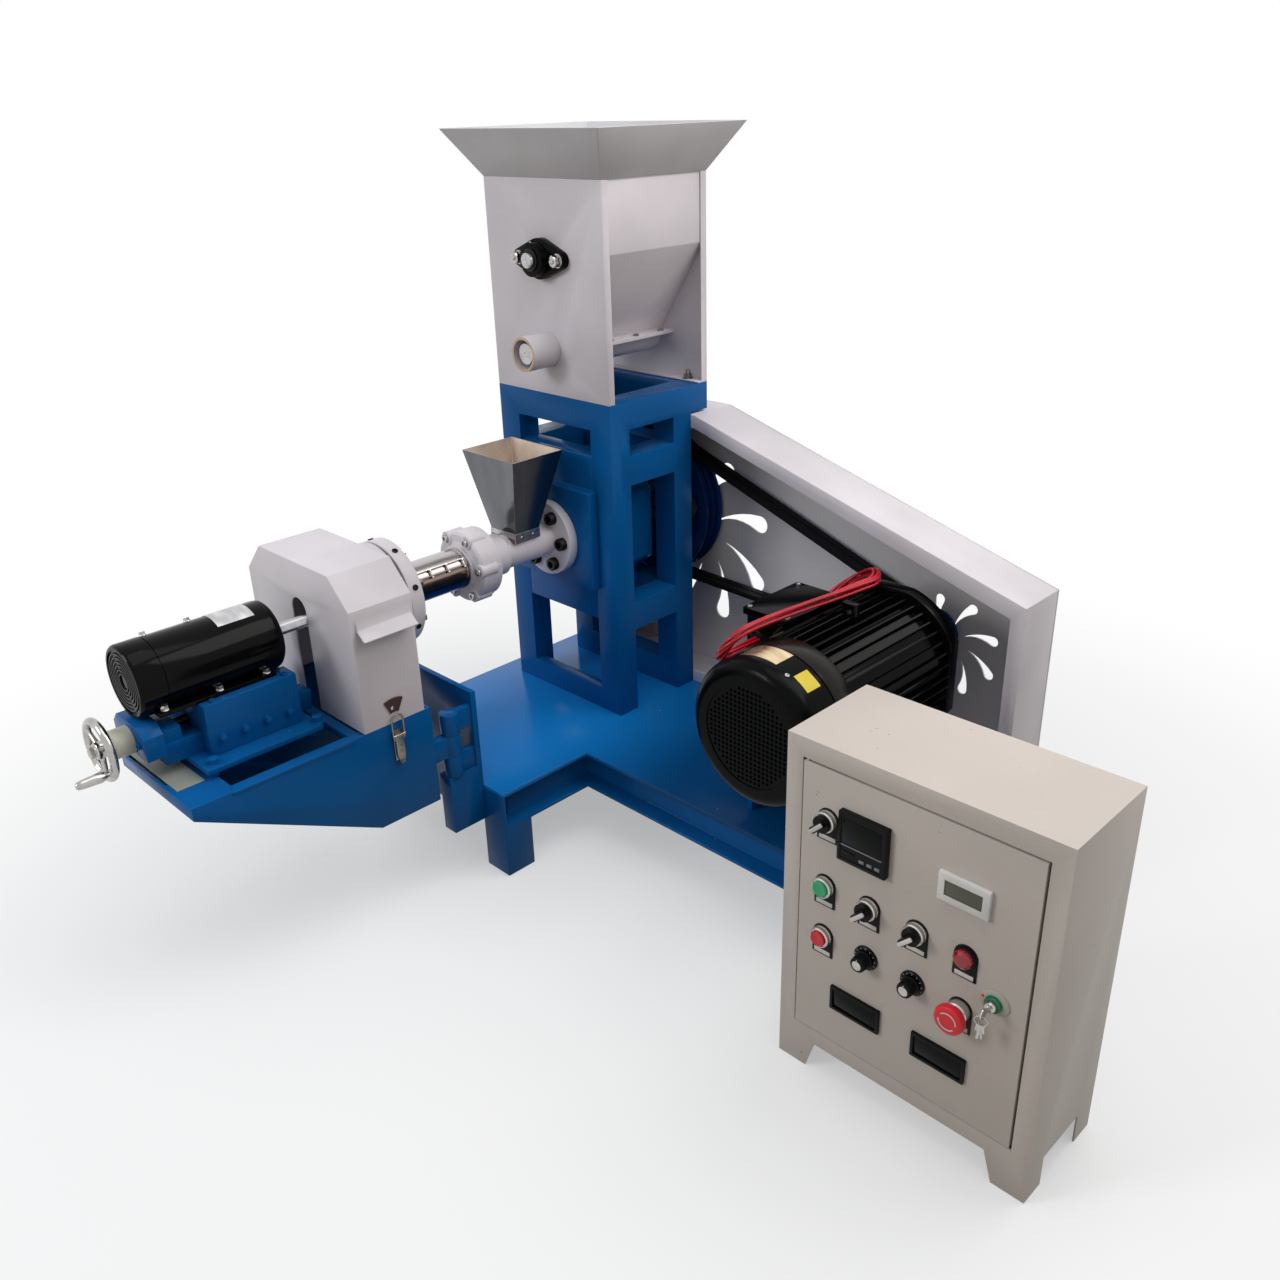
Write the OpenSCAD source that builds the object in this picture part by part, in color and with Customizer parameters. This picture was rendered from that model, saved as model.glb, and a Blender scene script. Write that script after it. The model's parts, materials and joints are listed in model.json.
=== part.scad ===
// Floating feed extruder: feed hopper on a tower, screw barrel with a swing-out cutter table,
// belt drive and a free-standing control cabinet. Millimetres, +Z up, the floor is Z = 0.
// The screw discharges towards -Y, and the drive motor stands towards +X.

/* [Base] */
// Height of the deck's top above the floor
deck_top = 169; // [150:1:220]
// Thickness of the deck plate
deck_t = 8; // [5:1:12]
// Height of the channel skirt, deck included
skirt_h = 74; // [60:1:90]
// Thickness of the skirt's web and lower flange
skirt_t = 6; // [4:1:8]
// Distance from the deck's edge back to the skirt's web
skirt_inset = 32; // [20:1:40]
// Width of the square box legs
leg_w = 60; // [40:1:70]
// Reach of the wing in front of the tower
wing_reach = 336; // [300:1:400]
// Deck beyond the tower on its left and right
wing_side = 51; // [30:1:70]
// Reach of the long body in front of the tower
body_reach = 140; // [110:1:160]
// Length of the long body to the right of the tower
body_len = 700; // [680:1:760]
// Deck behind the belt guard
body_behind = 8; // [5:1:40]

/* [Tower] */
// Width of the tower
tower_w = 298; // [280:1:340]
// Depth of the tower's top ring and of the hopper
tower_d = 250; // [240:1:300]
// Depth of the tower's posts, front to back
frame_d = 205; // [190:1:215]
// Height of the tower's top above the floor
tower_top = 770; // [740:1:800]
// Width of the posts
post_w = 52; // [40:1:60]
// Depth of the posts
post_d = 46; // [36:1:52]
// Height of the top ring's beams
ring_h = 50; // [40:1:60]
// Height of the rails
rail_h = 54; // [40:1:58]
// Height of the upper rails' top above the floor
upper_rail_top = 672; // [660:1:680]
// Height of the lower rails' top above the floor
lower_rail_top = 390; // [370:1:400]
// Height of the rail on the deck
foot_rail_h = 44; // [30:1:60]
// Thickness of the front plate
plate_t = 8; // [6:1:12]
// Width of the raised boss on the front plate
boss_w = 216; // [190:1:230]
// Height of the raised boss
boss_h = 186; // [160:1:200]
// Thickness of the raised boss
boss_t = 20; // [12:1:30]
// Width of the bearing housing behind the front plate
housing_w = 176; // [150:1:190]
// Height of the bearing housing
housing_h = 180; // [150:1:200]

/* [Hopper] */
// Height of the hopper's body above the tower
hopper_h = 362; // [320:1:420]
// Height of the flared rim
flare_h = 78; // [60:1:100]
// How far the rim flares outwards
flare_out = 50; // [30:1:60]
// Thickness of the hopper's sheet
sheet_t = 3; // [2:1:4]
// Width of the folded edges of the front and back sheets
fold_w = 14; // [10:1:20]
// Height of the upright side panels
side_panel_h = 116; // [90:1:140]
// Height of the agitator shaft above the tower
agitator_up = 234; // [220:1:250]
// Radius of the agitator and auger shafts
feed_shaft_r = 12.5; // [10:0.5:14]
// Distance between a flange bearing's two bolts
bearing_bolts = 99; // [90:1:110]
// Height of the feed screw above the tower
feed_up = 80; // [70:1:90]
// Outer radius of the feed tube
feed_tube_r = 30; // [27:1:34]
// Wall of the feed tube
feed_tube_t = 3; // [2:0.5:4]
// How far the feed tube stands out in front
feed_tube_out = 60; // [40:1:80]
// Inner radius of the trough under the hopper
trough_r = 35; // [31:1:40]
// Width of the trough's bolted flanges
trough_flange = 32; // [20:1:40]

/* [Screw and barrel] */
// Height of the screw's axis above the floor
screw_z = 508; // [490:1:520]
// Radius of the barrel's bore
bore_r = 25; // [22:0.5:27]
// Radius of the screw's root and drive shaft
screw_r = 18; // [14:0.5:20]
// Outer radius of the barrel's neck
neck_r = 31; // [29:1:36]
// Radius of the neck's mounting flange
flange_r = 70; // [62:1:78]
// Thickness of the mounting flange
flange_t = 18; // [12:1:24]
// Length of the neck in front of its flange
neck_len = 112; // [105:1:130]
// Outer radius of the cast clamp between neck and barrel
clamp_r = 62; // [55:1:70]
// Length of the cast clamp
clamp_len = 90; // [90:1:130]
// Outer radius of the band heater
heater_r = 36; // [33:1:42]
// Length of the band heater
heater_len = 135; // [90:1:150]
// Radius of the die ring and of the hood's collar
ring_r = 91; // [85:1:102]
// Thickness of the die ring
ring_t = 25; // [16:1:30]
// Radius of the die plate's face
die_r = 60; // [50:1:70]
// How far the die plate stands in front of the die ring
die_out = 27; // [20:1:30]
// Radius of one die hole
die_hole_r = 3; // [2:0.5:5]

/* [Inlet chute] */
// Width of the chute's mouth
chute_w = 140; // [110:1:160]
// Depth of the chute's mouth
chute_d = 114; // [90:1:120]
// Height of the chute
chute_h = 142; // [110:1:155]
// Width of the inlet port
port_w = 68; // [60:1:80]
// Length of the inlet port along the screw
port_d = 56; // [40:1:60]
// Width of the slot through the barrel's neck
port_slot = 36; // [24:1:42]
// Thickness of the chute's sheet
chute_t = 2; // [1.5:0.5:3]

/* [Belt drive] */
// Distance from the screw's axis to the motor's axis, along X
drive_dx = 636; // [600:1:650]
// Height of the motor's axis above the floor
motor_z = 392; // [380:1:410]
// Radius of the large pulley
pulley_r = 146; // [130:1:150]
// Radius of the motor's pulley
motor_pulley_r = 46; // [40:1:60]
// Width of both pulleys
pulley_w = 45; // [40:1:48]
// Width of one belt
belt_w = 15; // [12:1:16]
// Thickness of one belt
belt_t = 10; // [8:1:12]
// Depth of the belt guard
guard_d = 104; // [100:1:120]
// Thickness of the guard's sheet
guard_t = 3; // [2:0.5:4]
// Width of the guard's front lip
guard_lip = 25; // [15:1:35]
// Height of the guard's level top above the floor
guard_top = 716; // [690:1:718]
// Height of the guard's right end above the floor
guard_end_z = 523; // [500:1:560]
// Length of the guard to the right of the tower
guard_len = 694; // [670:1:698]

/* [Drive motor] */
// Radius of the motor's body
motor_r = 119; // [110:1:124]
// Length of the motor, cowl to end shield
motor_len = 385; // [360:1:388]
// Length of the fan cowl
cowl_len = 95; // [80:1:110]
// Height of the motor's axis above its feet
shaft_height = 122; // [120:1:132]
// Radius of the motor's shaft
motor_shaft_r = 14; // [12:1:19]

/* [Cutter table] */
// Width of the hood
hood_w = 299; // [280:1:310]
// Depth of the hood
hood_d = 113; // [100:1:130]
// Height of the hood
hood_h = 254; // [230:1:260]
// Size of the hood's top bevels
hood_bevel = 48; // [36:1:60]
// Thickness of the hood's sheet
hood_t = 3; // [2:0.5:4]
// Width of the slot that the cutter's shaft passes through
slot_w = 42; // [36:1:50]
// Length of the cutter table
pan_len = 411; // [400:1:440]
// Width of the table's front edge
pan_front_w = 232; // [215:1:260]
// Depth of the table's discharge box
pan_h = 176; // [150:1:200]
// Height of the table's front rim
pan_rim = 20; // [16:1:40]
// Thickness of the table's plate
pan_t = 5; // [4:0.5:6]
// Radius of the hinge's barrel
hinge_r = 16; // [12:1:18]
// Length of the hinge's barrel
hinge_h = 118; // [90:1:120]
// Width of the slide's base plate
slide_plate_w = 198; // [180:1:206]
// Length of the slide's base plate
slide_plate_l = 192; // [180:1:210]
// Width of the carriage
carriage_w = 132; // [110:1:140]
// Length of the carriage
carriage_l = 152; // [130:1:160]
// How far the carriage draws back
travel = 24; // [15:1:26]
// Radius of the cutter's motor
cutter_motor_r = 56; // [50:1:60]
// Length of the cutter's motor
cutter_motor_l = 232; // [220:1:236]
// Radius of the cutter's shaft
cutter_shaft_r = 10; // [8:0.5:12]
// Reach of the cutter's blades
blade_r = 52; // [44:1:58]
// Radius of the handwheel
wheel_r = 50; // [40:1:55]
// Radius of the feed screw that moves the carriage
lead_r = 7; // [5:0.5:8]

/* [Cabinet] */
// Width of the cabinet
cab_w = 383; // [370:1:420]
// Depth of the cabinet
cab_d = 170; // [150:1:180]
// Height of the cabinet's box
cab_h = 477; // [465:1:520]
// Height of the cabinet's legs
cab_leg_h = 46; // [30:1:70]
// Thickness of the cabinet's sheet
cab_t = 2; // [1.5:0.5:3]
// Width of the frame round the door
cab_frame = 28; // [22:1:32]
// Thickness of the door
door_t = 18; // [14:1:24]
// Gap round the door
door_gap = 3; // [2:0.5:4]
// Radius of the switches' metal collars
collar_r = 14.5; // [13:0.5:15]
// Radius of the emergency stop's mushroom head
stop_r = 20; // [18:1:22]

/* [Hidden] */
$fn = 48;

// Blue paint, pale paint and the other finishes
blue = "#1f66ab";
dark_blue = "#123a66";
pale = "#cfcbd4";
grey = "#9a9a9c";
steel = "#b8b8ba";
black = "#18181a";
beige = "#a69c92";

// Places in the machine's frame: X from the tower's right face, Y from its front face
axis_x = -tower_w / 2;
leg_h = deck_top - skirt_h;
guard_y = frame_d;
guard_back = guard_y + guard_d;
x_left = -tower_w - wing_side;
x_right = cab_x() + cab_w;
y_back = guard_back + body_behind;
wheel_y = -890;
crank_y = wheel_y - 56;
y_front = crank_y;
hopper_top = tower_top + hopper_h;
feed_z = tower_top + feed_up;
agitator_z = tower_top + agitator_up;
panel_bottom = hopper_top - side_panel_h;
motor_x = axis_x + drive_dx;
fit = 0.4;

function cab_x() = body_len - 41;
cab_y = -body_reach - 25 - cab_d;
cab_z = cab_leg_h;
door_x = cab_x() + cab_frame;
door_z = cab_z + cab_frame;
door_w = cab_w - 2 * cab_frame;
door_h = cab_h - 2 * cab_frame - 3;

// Along the screw, from the tower's front plate to the die
boss_y = -boss_t;
neck_y = boss_y - flange_t;
clamp_y = neck_y - neck_len;
heater_y = clamp_y - clamp_len;
ring_y = heater_y - heater_len;
ring_front = ring_y - ring_t;
die_front = ring_front - die_out;
port_y = neck_y - 40;
port_z = screw_z + neck_r + 9;
chute_back = neck_y - 5;
chute_top = port_z + chute_h;

// Cutter table: its rim carries the hood, and it swings on the hinge
collar_y = ring_front - 5;
hood_back = ring_front - 38;
hood_front = hood_back - hood_d;
hood_top = screw_z + 104;
table_z = hood_top - hood_h;
hood_r_x = axis_x + hood_w / 2;
table_back = hood_back + 11;
table_front = table_back - pan_len;
hinge_x = hood_r_x - 10;
hinge_y = table_back + 40;
hinge_top = table_z - 29;
plate_y = -wing_reach;
slide_y = table_front + 54;
slide_z = table_z + 10;
lead_z = screw_z - 88;
motor_front = hood_front - 56;
carriage_front = motor_front - 152;

module place() {
    translate([-(x_left + x_right) / 2, -(y_front + y_back) / 2, 0]) children();
}

// A box from its lowest to its highest corner
module box(lo, hi) {
    translate(lo) cube([hi[0] - lo[0], hi[1] - lo[1], hi[2] - lo[2]]);
}

// A round bar along Y, from y0 to y1, about the point x, z
module bar_y(x, z, y0, y1, r) {
    translate([x, max(y0, y1), z]) rotate([90, 0, 0]) cylinder(h = abs(y1 - y0), r = r);
}

// A flat shape drawn in X and Z, from y0 (front) back to y1
module slab_y(y0, y1) {
    translate([0, y1, 0]) rotate([90, 0, 0]) linear_extrude(height = y1 - y0) children();
}

// A flat shape drawn in Y and Z, from x0 to x1
module slab_x(x0, x1) {
    translate([x0, 0, 0]) rotate([90, 0, 90]) linear_extrude(height = x1 - x0) children();
}

// A ring of n bolts or holes on a circle about the screw's axis
module on_circle(n, r, first = 0) {
    for (i = [0 : n - 1]) {
        a = first + 360 * i / n;
        translate([axis_x + r * cos(a), 0, screw_z + r * sin(a)]) children();
    }
}

// ---- Base ----

// Outline of the L-shaped base, moved inwards by d
function base_outline(d) = [
    [x_left + d, -wing_reach + d], [wing_side - d, -wing_reach + d],
    [wing_side - d, -body_reach + d], [body_len - d, -body_reach + d],
    [body_len - d, y_back - d], [x_left + d, y_back - d]
];

module base_ring(d0, d1, h) {
    linear_extrude(height = h) difference() {
        polygon(base_outline(d0));
        polygon(base_outline(d1));
    }
}

module base_frame() {
    color(blue) place() {
        difference() {
            union() {
                translate([0, 0, leg_h]) base_ring(0, skirt_inset + skirt_t + 12, skirt_t);
                translate([0, 0, leg_h]) base_ring(skirt_inset, skirt_inset + skirt_t, skirt_h - deck_t);
                box([x_left, -wing_reach, leg_h], [wing_side, -wing_reach + skirt_t, deck_top - deck_t]);
                for (x = [x_left, wing_side - leg_w]) {
                    box([x, -wing_reach, 0], [x + leg_w, -wing_reach + leg_w, leg_h]);
                    box([x, y_back - leg_w, 0], [x + leg_w, y_back, leg_h]);
                }
                for (y = [-body_reach, y_back - leg_w])
                    box([body_len - leg_w, y, 0], [body_len, y + leg_w, leg_h]);
            }
        }
    }
}

module base_deck() {
    color(blue) place() translate([0, 0, deck_top - deck_t])
        linear_extrude(height = deck_t) polygon(base_outline(0));
}

// ---- Tower ----

module tower_frame() {
    back = frame_d - post_d;
    color(blue) place() {
        for (x = [-tower_w, -post_w]) {
            box([x, 0, deck_top], [x + post_w, post_d, tower_top]);
            box([x, back, deck_top], [x + post_w, frame_d, tower_top]);
        }
        difference() {
            box([-tower_w, 0, tower_top - ring_h], [0, tower_d, tower_top]);
            box([-tower_w + post_w, post_d, 0], [-post_w, tower_d - post_d, tower_top + 1]);
        }
        for (x = [-tower_w, -post_w])
            for (z = [upper_rail_top, lower_rail_top])
                box([x, 0, z - rail_h], [x + post_w, frame_d, z]);
        for (z = [upper_rail_top, lower_rail_top, deck_top + rail_h])
            box([-tower_w, back, z - rail_h], [0, frame_d, z]);
        box([-tower_w, 0, deck_top], [0, post_d / 2, deck_top + foot_rail_h]);
        box([-tower_w, plate_t, upper_rail_top - rail_h], [0, post_d, upper_rail_top]);
    }
}

module tower_front_plate() {
    plate_bottom = lower_rail_top - 31;
    color(blue) place() difference() {
        union() {
            box([-tower_w + post_w, 0, plate_bottom], [-post_w, plate_t, upper_rail_top]);
            box([axis_x - boss_w / 2, boss_y, screw_z + 8 - boss_h / 2],
                [axis_x + boss_w / 2, 0, screw_z + 8 + boss_h / 2]);
        }
        bar_y(axis_x, screw_z, boss_y - 1, plate_t + 1, bore_r);
    }
}

module bearing_housing() {
    chamfer = 24;
    color(dark_blue) place() difference() {
        slab_y(plate_t, frame_d - post_d) polygon([
            for (s = [[1, 1], [-1, 1], [-1, -1], [1, -1]])
                for (k = s[0] * s[1] > 0 ? [0, 1] : [1, 0])
                    [axis_x + s[0] * (housing_w / 2 - k * chamfer),
                     screw_z + s[1] * (housing_h / 2 - (1 - k) * chamfer)]
        ]);
        bar_y(axis_x, screw_z, plate_t - 1, frame_d, screw_r + fit);
    }
}

// ---- Hopper ----

module hopper_panel(y0, y1, fold0, fold1) {
    box([-tower_w, y0, tower_top], [0, y1, hopper_top]);
    for (x = [-tower_w, -sheet_t])
        box([x, fold0, tower_top], [x + sheet_t, fold1, hopper_top]);
}

module hopper_front_plate() {
    color(pale) place() difference() {
        hopper_panel(0, sheet_t, 0, fold_w);
        bar_y(axis_x, agitator_z, -1, sheet_t + 1, feed_shaft_r + 4);
        bar_y(axis_x, feed_z, -1, sheet_t + 1, feed_tube_r);
    }
}

module hopper_back_plate() {
    color(pale) place() difference() {
        union() {
            hopper_panel(tower_d - sheet_t, tower_d, tower_d - fold_w, tower_d);
            box([-tower_w, tower_d - fold_w - 10, tower_top], [0, tower_d, tower_top + sheet_t]);
        }
        bar_y(axis_x, agitator_z, tower_d - sheet_t - 1, tower_d + 1, feed_shaft_r + 4);
        bar_y(axis_x, feed_z, tower_d - sheet_t - 1, tower_d + 1, feed_shaft_r + 4);
    }
}

// One side of the funnel: an upright panel, a slope and the flange on the trough
module funnel_side() {
    top = tower_w / 2 - sheet_t;
    low = trough_r;
    slab_y(sheet_t, tower_d - sheet_t) polygon([
        [top, hopper_top], [top, panel_bottom], [low + sheet_t, feed_z + 2 * sheet_t],
        [low + trough_flange, feed_z + 2 * sheet_t], [low + trough_flange, feed_z + sheet_t],
        [low, feed_z + sheet_t], [top - sheet_t, panel_bottom], [top - sheet_t, hopper_top]
    ]);
}

module hopper_funnel() {
    color(pale) place() translate([axis_x, 0, 0]) {
        funnel_side();
        mirror([1, 0, 0]) funnel_side();
    }
}

function ring4(x0, x1, y0, y1, z) = [[x0, y0, z], [x1, y0, z], [x1, y1, z], [x0, y1, z]];

// A tapered shell between four rings of corners: outer bottom and top, inner bottom and top
module tapered_shell(ob, ot, ib, it) {
    p = concat(ob, ot, ib, it);
    f = [for (i = [0 : 3]) let (j = (i + 1) % 4) each [
        [i, j, 4 + j], [i, 4 + j, 4 + i],
        [8 + j, 8 + i, 12 + i], [8 + j, 12 + i, 12 + j],
        [4 + i, 4 + j, 12 + j], [4 + i, 12 + j, 12 + i],
        [j, i, 8 + i], [j, 8 + i, 8 + j]
    ]];
    polyhedron(points = p, faces = [for (t = f) [t[2], t[1], t[0]]]);
}

module hopper_flare() {
    t = sheet_t;
    o = flare_out;
    rim = 2;
    color(grey) place() tapered_shell(
        ring4(-tower_w, 0, 0, tower_d, hopper_top),
        ring4(-tower_w - o, o, -o, tower_d + o, hopper_top + flare_h),
        ring4(-tower_w + t, -t, t, tower_d - t, hopper_top),
        ring4(-tower_w - o + t + rim, o - t - rim, -o + t + rim, tower_d + o - t - rim, hopper_top + flare_h)
    );
}

module feed_trough() {
    r = trough_r;
    t = sheet_t;
    color(pale) place() slab_y(t, tower_d - t) translate([axis_x, feed_z]) {
        difference() {
            circle(r = r + t);
            circle(r = r);
            translate([-r - t - 1, 0]) square([2 * (r + t) + 2, r + t + 1]);
        }
        for (s = [0, 1]) mirror([s, 0])
            translate([r, 0]) square([trough_flange, t]);
    }
}

module feed_tube() {
    color(pale) place() difference() {
        bar_y(axis_x, feed_z, -feed_tube_out, sheet_t, feed_tube_r);
        bar_y(axis_x, feed_z, -feed_tube_out - 1, sheet_t + 1, feed_tube_r - feed_tube_t);
    }
}

// A cast two-bolt flange bearing on a face at y; s is -1 for one that looks to the front
module flange_bearing(z, y, s) {
    foot = 13;
    depth = 30;
    body_r = 34;
    translate([axis_x, y, z]) rotate([s < 0 ? 90 : -90, 0, 0]) difference() {
        union() {
            linear_extrude(height = foot) hull() {
                circle(r = body_r, $fn = 32);
                for (k = [-1, 1]) translate([k * bearing_bolts / 2, 0]) circle(r = 15, $fn = 32);
            }
            cylinder(h = depth, r = body_r - 6);
            for (k = [-1, 1]) translate([k * bearing_bolts / 2, 0, 0])
                cylinder(h = foot + 10, r = 8, $fn = 6);
        }
        translate([0, 0, -1]) cylinder(h = depth + 2, r = feed_shaft_r + fit);
    }
}

module flange_bearings() {
    color(black) place() {
        flange_bearing(agitator_z, 0, -1);
        flange_bearing(agitator_z, tower_d, 1);
        flange_bearing(feed_z, tower_d, 1);
    }
}

// Shaft with crossed stirring rods inside the hopper
module agitator() {
    rod_r = 6;
    rod_len = 84;
    color(steel) place() {
        bar_y(axis_x, agitator_z, -40, tower_d + 40, feed_shaft_r);
        for (i = [0 : 3]) translate([axis_x, 50 + 50 * i, agitator_z]) rotate([0, 90 * (i % 2), 0])
            cylinder(h = 2 * rod_len, r = rod_r, center = true);
    }
}

// Shaft of the feed screw, with the first and last turn's discs
module feed_auger() {
    disc_r = feed_tube_r - feed_tube_t - 4;
    color(steel) place() {
        bar_y(axis_x, feed_z, -feed_tube_out + 6, tower_d + 40, feed_shaft_r);
        for (i = [0 : 6]) {
            y = 30 - 12 + 32 * i;
            bar_y(axis_x, feed_z, y, y + 4, disc_r);
        }
    }
}

// ---- Inlet ----

module inlet_chute() {
    t = chute_t;
    mouth = [axis_x - chute_w / 2, axis_x + chute_w / 2, chute_back - chute_d, chute_back];
    port = [axis_x - port_w / 2, axis_x + port_w / 2, port_y - port_d, port_y];
    color(steel) place() {
        tapered_shell(
            ring4(port[0], port[1], port[2], port[3], port_z),
            ring4(mouth[0], mouth[1], mouth[2], mouth[3], chute_top),
            ring4(port[0] + t, port[1] - t, port[2] + t, port[3] - t, port_z),
            ring4(mouth[0] + t, mouth[1] - t, mouth[2] + t, mouth[3] - t, chute_top)
        );
        difference() {
            box([port[0], port[2], screw_z + neck_r - 10], [port[1], port[3], port_z]);
            box([port[0] + t, port[2] + t, 0], [port[1] - t, port[3] - t, port_z + 1]);
            bar_y(axis_x, screw_z, port[2] - 1, port[3] + 1, neck_r + 0.1);
        }
    }
}

// ---- Barrel ----

module barrel_neck() {
    color(pale) place() difference() {
        union() {
            bar_y(axis_x, screw_z, neck_y, boss_y, flange_r);
            bar_y(axis_x, screw_z, clamp_y, neck_y, neck_r);
        }
        bar_y(axis_x, screw_z, clamp_y - 1, boss_y + 1, bore_r);
        box([axis_x - port_slot / 2, port_y - port_d + chute_t, screw_z],
            [axis_x + port_slot / 2, port_y - chute_t, screw_z + neck_r + 1]);
    }
}

// Two cast flanges drawn together by bolts in rounded lugs, with a stepped neck behind
module barrel_clamp() {
    r = clamp_r;
    lug_r = 12;
    lugs = 6;
    face = heater_y + 10;
    body = heater_y + 26;
    body_back = body + 0.27 * clamp_len;
    step_back = body_back + 0.12 * clamp_len;
    color(pale) place() difference() {
        union() {
            bar_y(axis_x, screw_z, heater_y, face, heater_r + 4);
            bar_y(axis_x, screw_z, face, body, r - 8);
            bar_y(axis_x, screw_z, body, body_back, r);
            bar_y(axis_x, screw_z, body_back, step_back, r - 20);
            bar_y(axis_x, screw_z, step_back, clamp_y, neck_r + 7);
            on_circle(lugs, r - lug_r + 6, 5) bar_y(0, 0, face - 6, body + 12, lug_r);
        }
        bar_y(axis_x, screw_z, heater_y - 1, clamp_y + 1, bore_r);
        on_circle(lugs, r - lug_r + 6, 5) bar_y(0, 0, face - 7, face + 4, 5.5);
    }
}

module band_heater() {
    color("silver") place() difference() {
        union() {
            bar_y(axis_x, screw_z, ring_y, heater_y, heater_r);
            box([axis_x + 12, ring_y + 13, screw_z + heater_r - 6],
                [axis_x + 24, heater_y - 8, screw_z + heater_r + 4]);
        }
        bar_y(axis_x, screw_z, ring_y - 1, heater_y + 1, bore_r);
    }
}

module die_ring() {
    color(pale) place() difference() {
        union() {
            bar_y(axis_x, screw_z, ring_front, ring_y, ring_r);
            bar_y(axis_x, screw_z, ring_y, ring_y + 10, ring_r - 40);
        }
        bar_y(axis_x, screw_z, ring_front - 1, ring_y + 1, bore_r);
        bar_y(axis_x, screw_z, ring_y, ring_y + 11, heater_r + fit);
    }
}

module die_plate() {
    holes = 8;
    color(steel) place() difference() {
        bar_y(axis_x, screw_z, die_front, ring_front, die_r);
        bar_y(axis_x, screw_z, ring_front - 10, ring_front + 1, bore_r);
        on_circle(holes, bore_r - die_hole_r - 4) bar_y(0, 0, die_front - 1, ring_front, die_hole_r);
    }
}

module main_screw() {
    color(steel) place() bar_y(axis_x, screw_z, ring_front + 8, guard_back - guard_t - 7, screw_r);
}

// ---- Belt drive ----

belt_y = [for (i = [0, 1]) guard_back - guard_t - 9 - pulley_w + 6 + i * (pulley_w - 12 - belt_w)];
pulley_back = guard_back - guard_t - 9;

module v_pulley(r, x, z, hub_r, shaft_r) {
    difference() {
        bar_y(x, z, pulley_back - pulley_w, pulley_back, r);
        for (y = belt_y) difference() {
            bar_y(x, z, y - 0.5, y + belt_w + 0.5, r + 1);
            bar_y(x, z, y - 1, y + belt_w + 1, r - 2 - belt_t - 0.5);
        }
        bar_y(x, z, pulley_back - pulley_w - 1, pulley_back + 1, shaft_r);
        children();
    }
}

module screw_pulley() {
    rim = 24;
    hub_r = 40;
    color(dark_blue) place() v_pulley(pulley_r, axis_x, screw_z, hub_r, screw_r) {
        for (y = [[pulley_back - pulley_w - 1, pulley_back - pulley_w / 2 - 6],
                  [pulley_back - pulley_w / 2 + 6, pulley_back + 1]])
            difference() {
                bar_y(axis_x, screw_z, y[0], y[1], pulley_r - rim);
                bar_y(axis_x, screw_z, y[0] - 1, y[1] + 1, hub_r);
            }
        on_circle(5, (pulley_r - rim + hub_r) / 2)
            bar_y(0, 0, pulley_back - pulley_w, pulley_back, 24);
    }
}

module motor_pulley() {
    color(dark_blue) place() {
        v_pulley(motor_pulley_r, motor_x, motor_z, 20, motor_shaft_r);
        bar_y(motor_x, motor_z, motor_back - 28, pulley_back + 2, motor_shaft_r);
    }
}

// The outline that a belt follows, with its back this far inside the pulleys' rims
module belt_outline(inside) {
    r1 = pulley_r - inside;
    r2 = motor_pulley_r - inside;
    dz = motor_z - screw_z;
    run = sqrt(drive_dx * drive_dx + dz * dz);
    turn = atan2(dz, drive_dx);
    lean = acos((r1 - r2) / run);
    translate([axis_x, screw_z]) circle(r = r1);
    translate([motor_x, motor_z]) circle(r = r2);
    // The straight runs start a hair inside the circles, so that they cross them
    a = 0.9995 * r1;
    b = 0.9995 * r2;
    polygon([
        [axis_x + a * cos(turn + lean), screw_z + a * sin(turn + lean)],
        [axis_x + a * cos(turn - lean), screw_z + a * sin(turn - lean)],
        [motor_x + b * cos(turn - lean), motor_z + b * sin(turn - lean)],
        [motor_x + b * cos(turn + lean), motor_z + b * sin(turn + lean)]
    ]);
}

module drive_belts() {
    color(black) place() for (y = belt_y) slab_y(y, y + belt_w) difference() {
        belt_outline(2);
        belt_outline(2 + belt_t);
    }
}

guard_left = -tower_w - 20;
function guard_outline(d) = [
    [guard_left + d, deck_top + d], [guard_len - d, deck_top + d],
    [guard_len - d, guard_end_z - d], [8, guard_top - d], [guard_left + d, guard_top - d]
];

module belt_guard() {
    color(pale) place() {
        slab_y(guard_y, guard_back - guard_t) difference() {
            polygon(guard_outline(0));
            polygon(guard_outline(guard_t));
        }
        slab_y(guard_y, guard_y + guard_t) difference() {
            polygon(guard_outline(0));
            polygon(guard_outline(guard_lip));
        }
    }
}

// A curved drop, like a comma: thin near the wheel's centre, round at its far end
function drop_at(r, s) = let (d = r * (0.4 + 0.6 * s), a = 22 * (1 - s)) [d * cos(a), d * sin(a)];

module vent_drop(r) {
    steps = 5;
    for (i = [0 : steps - 1]) hull() for (s = [i / steps, (i + 1) / steps])
        translate(drop_at(r, s)) circle(r = r * (0.008 + 0.1 * pow(s, 1.6)), $fn = 14);
}

module vent_wheel(x, z, r, drops = 8, first = 20) {
    translate([x, z]) for (i = [0 : drops - 1]) rotate(360 * i / drops + first) vent_drop(r);
}

module guard_back_panel() {
    color("#77757f") place() slab_y(guard_back - guard_t, guard_back) difference() {
        polygon(guard_outline(0));
        vent_wheel(axis_x + 85, screw_z - 68, 160);
        vent_wheel(motor_x + 28, motor_z - 19, 83);
    }
}

// ---- Drive motor ----

motor_y0 = guard_y - 25 - motor_len;
motor_back = guard_y - 25;
foot_z = motor_z - shaft_height;

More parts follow.
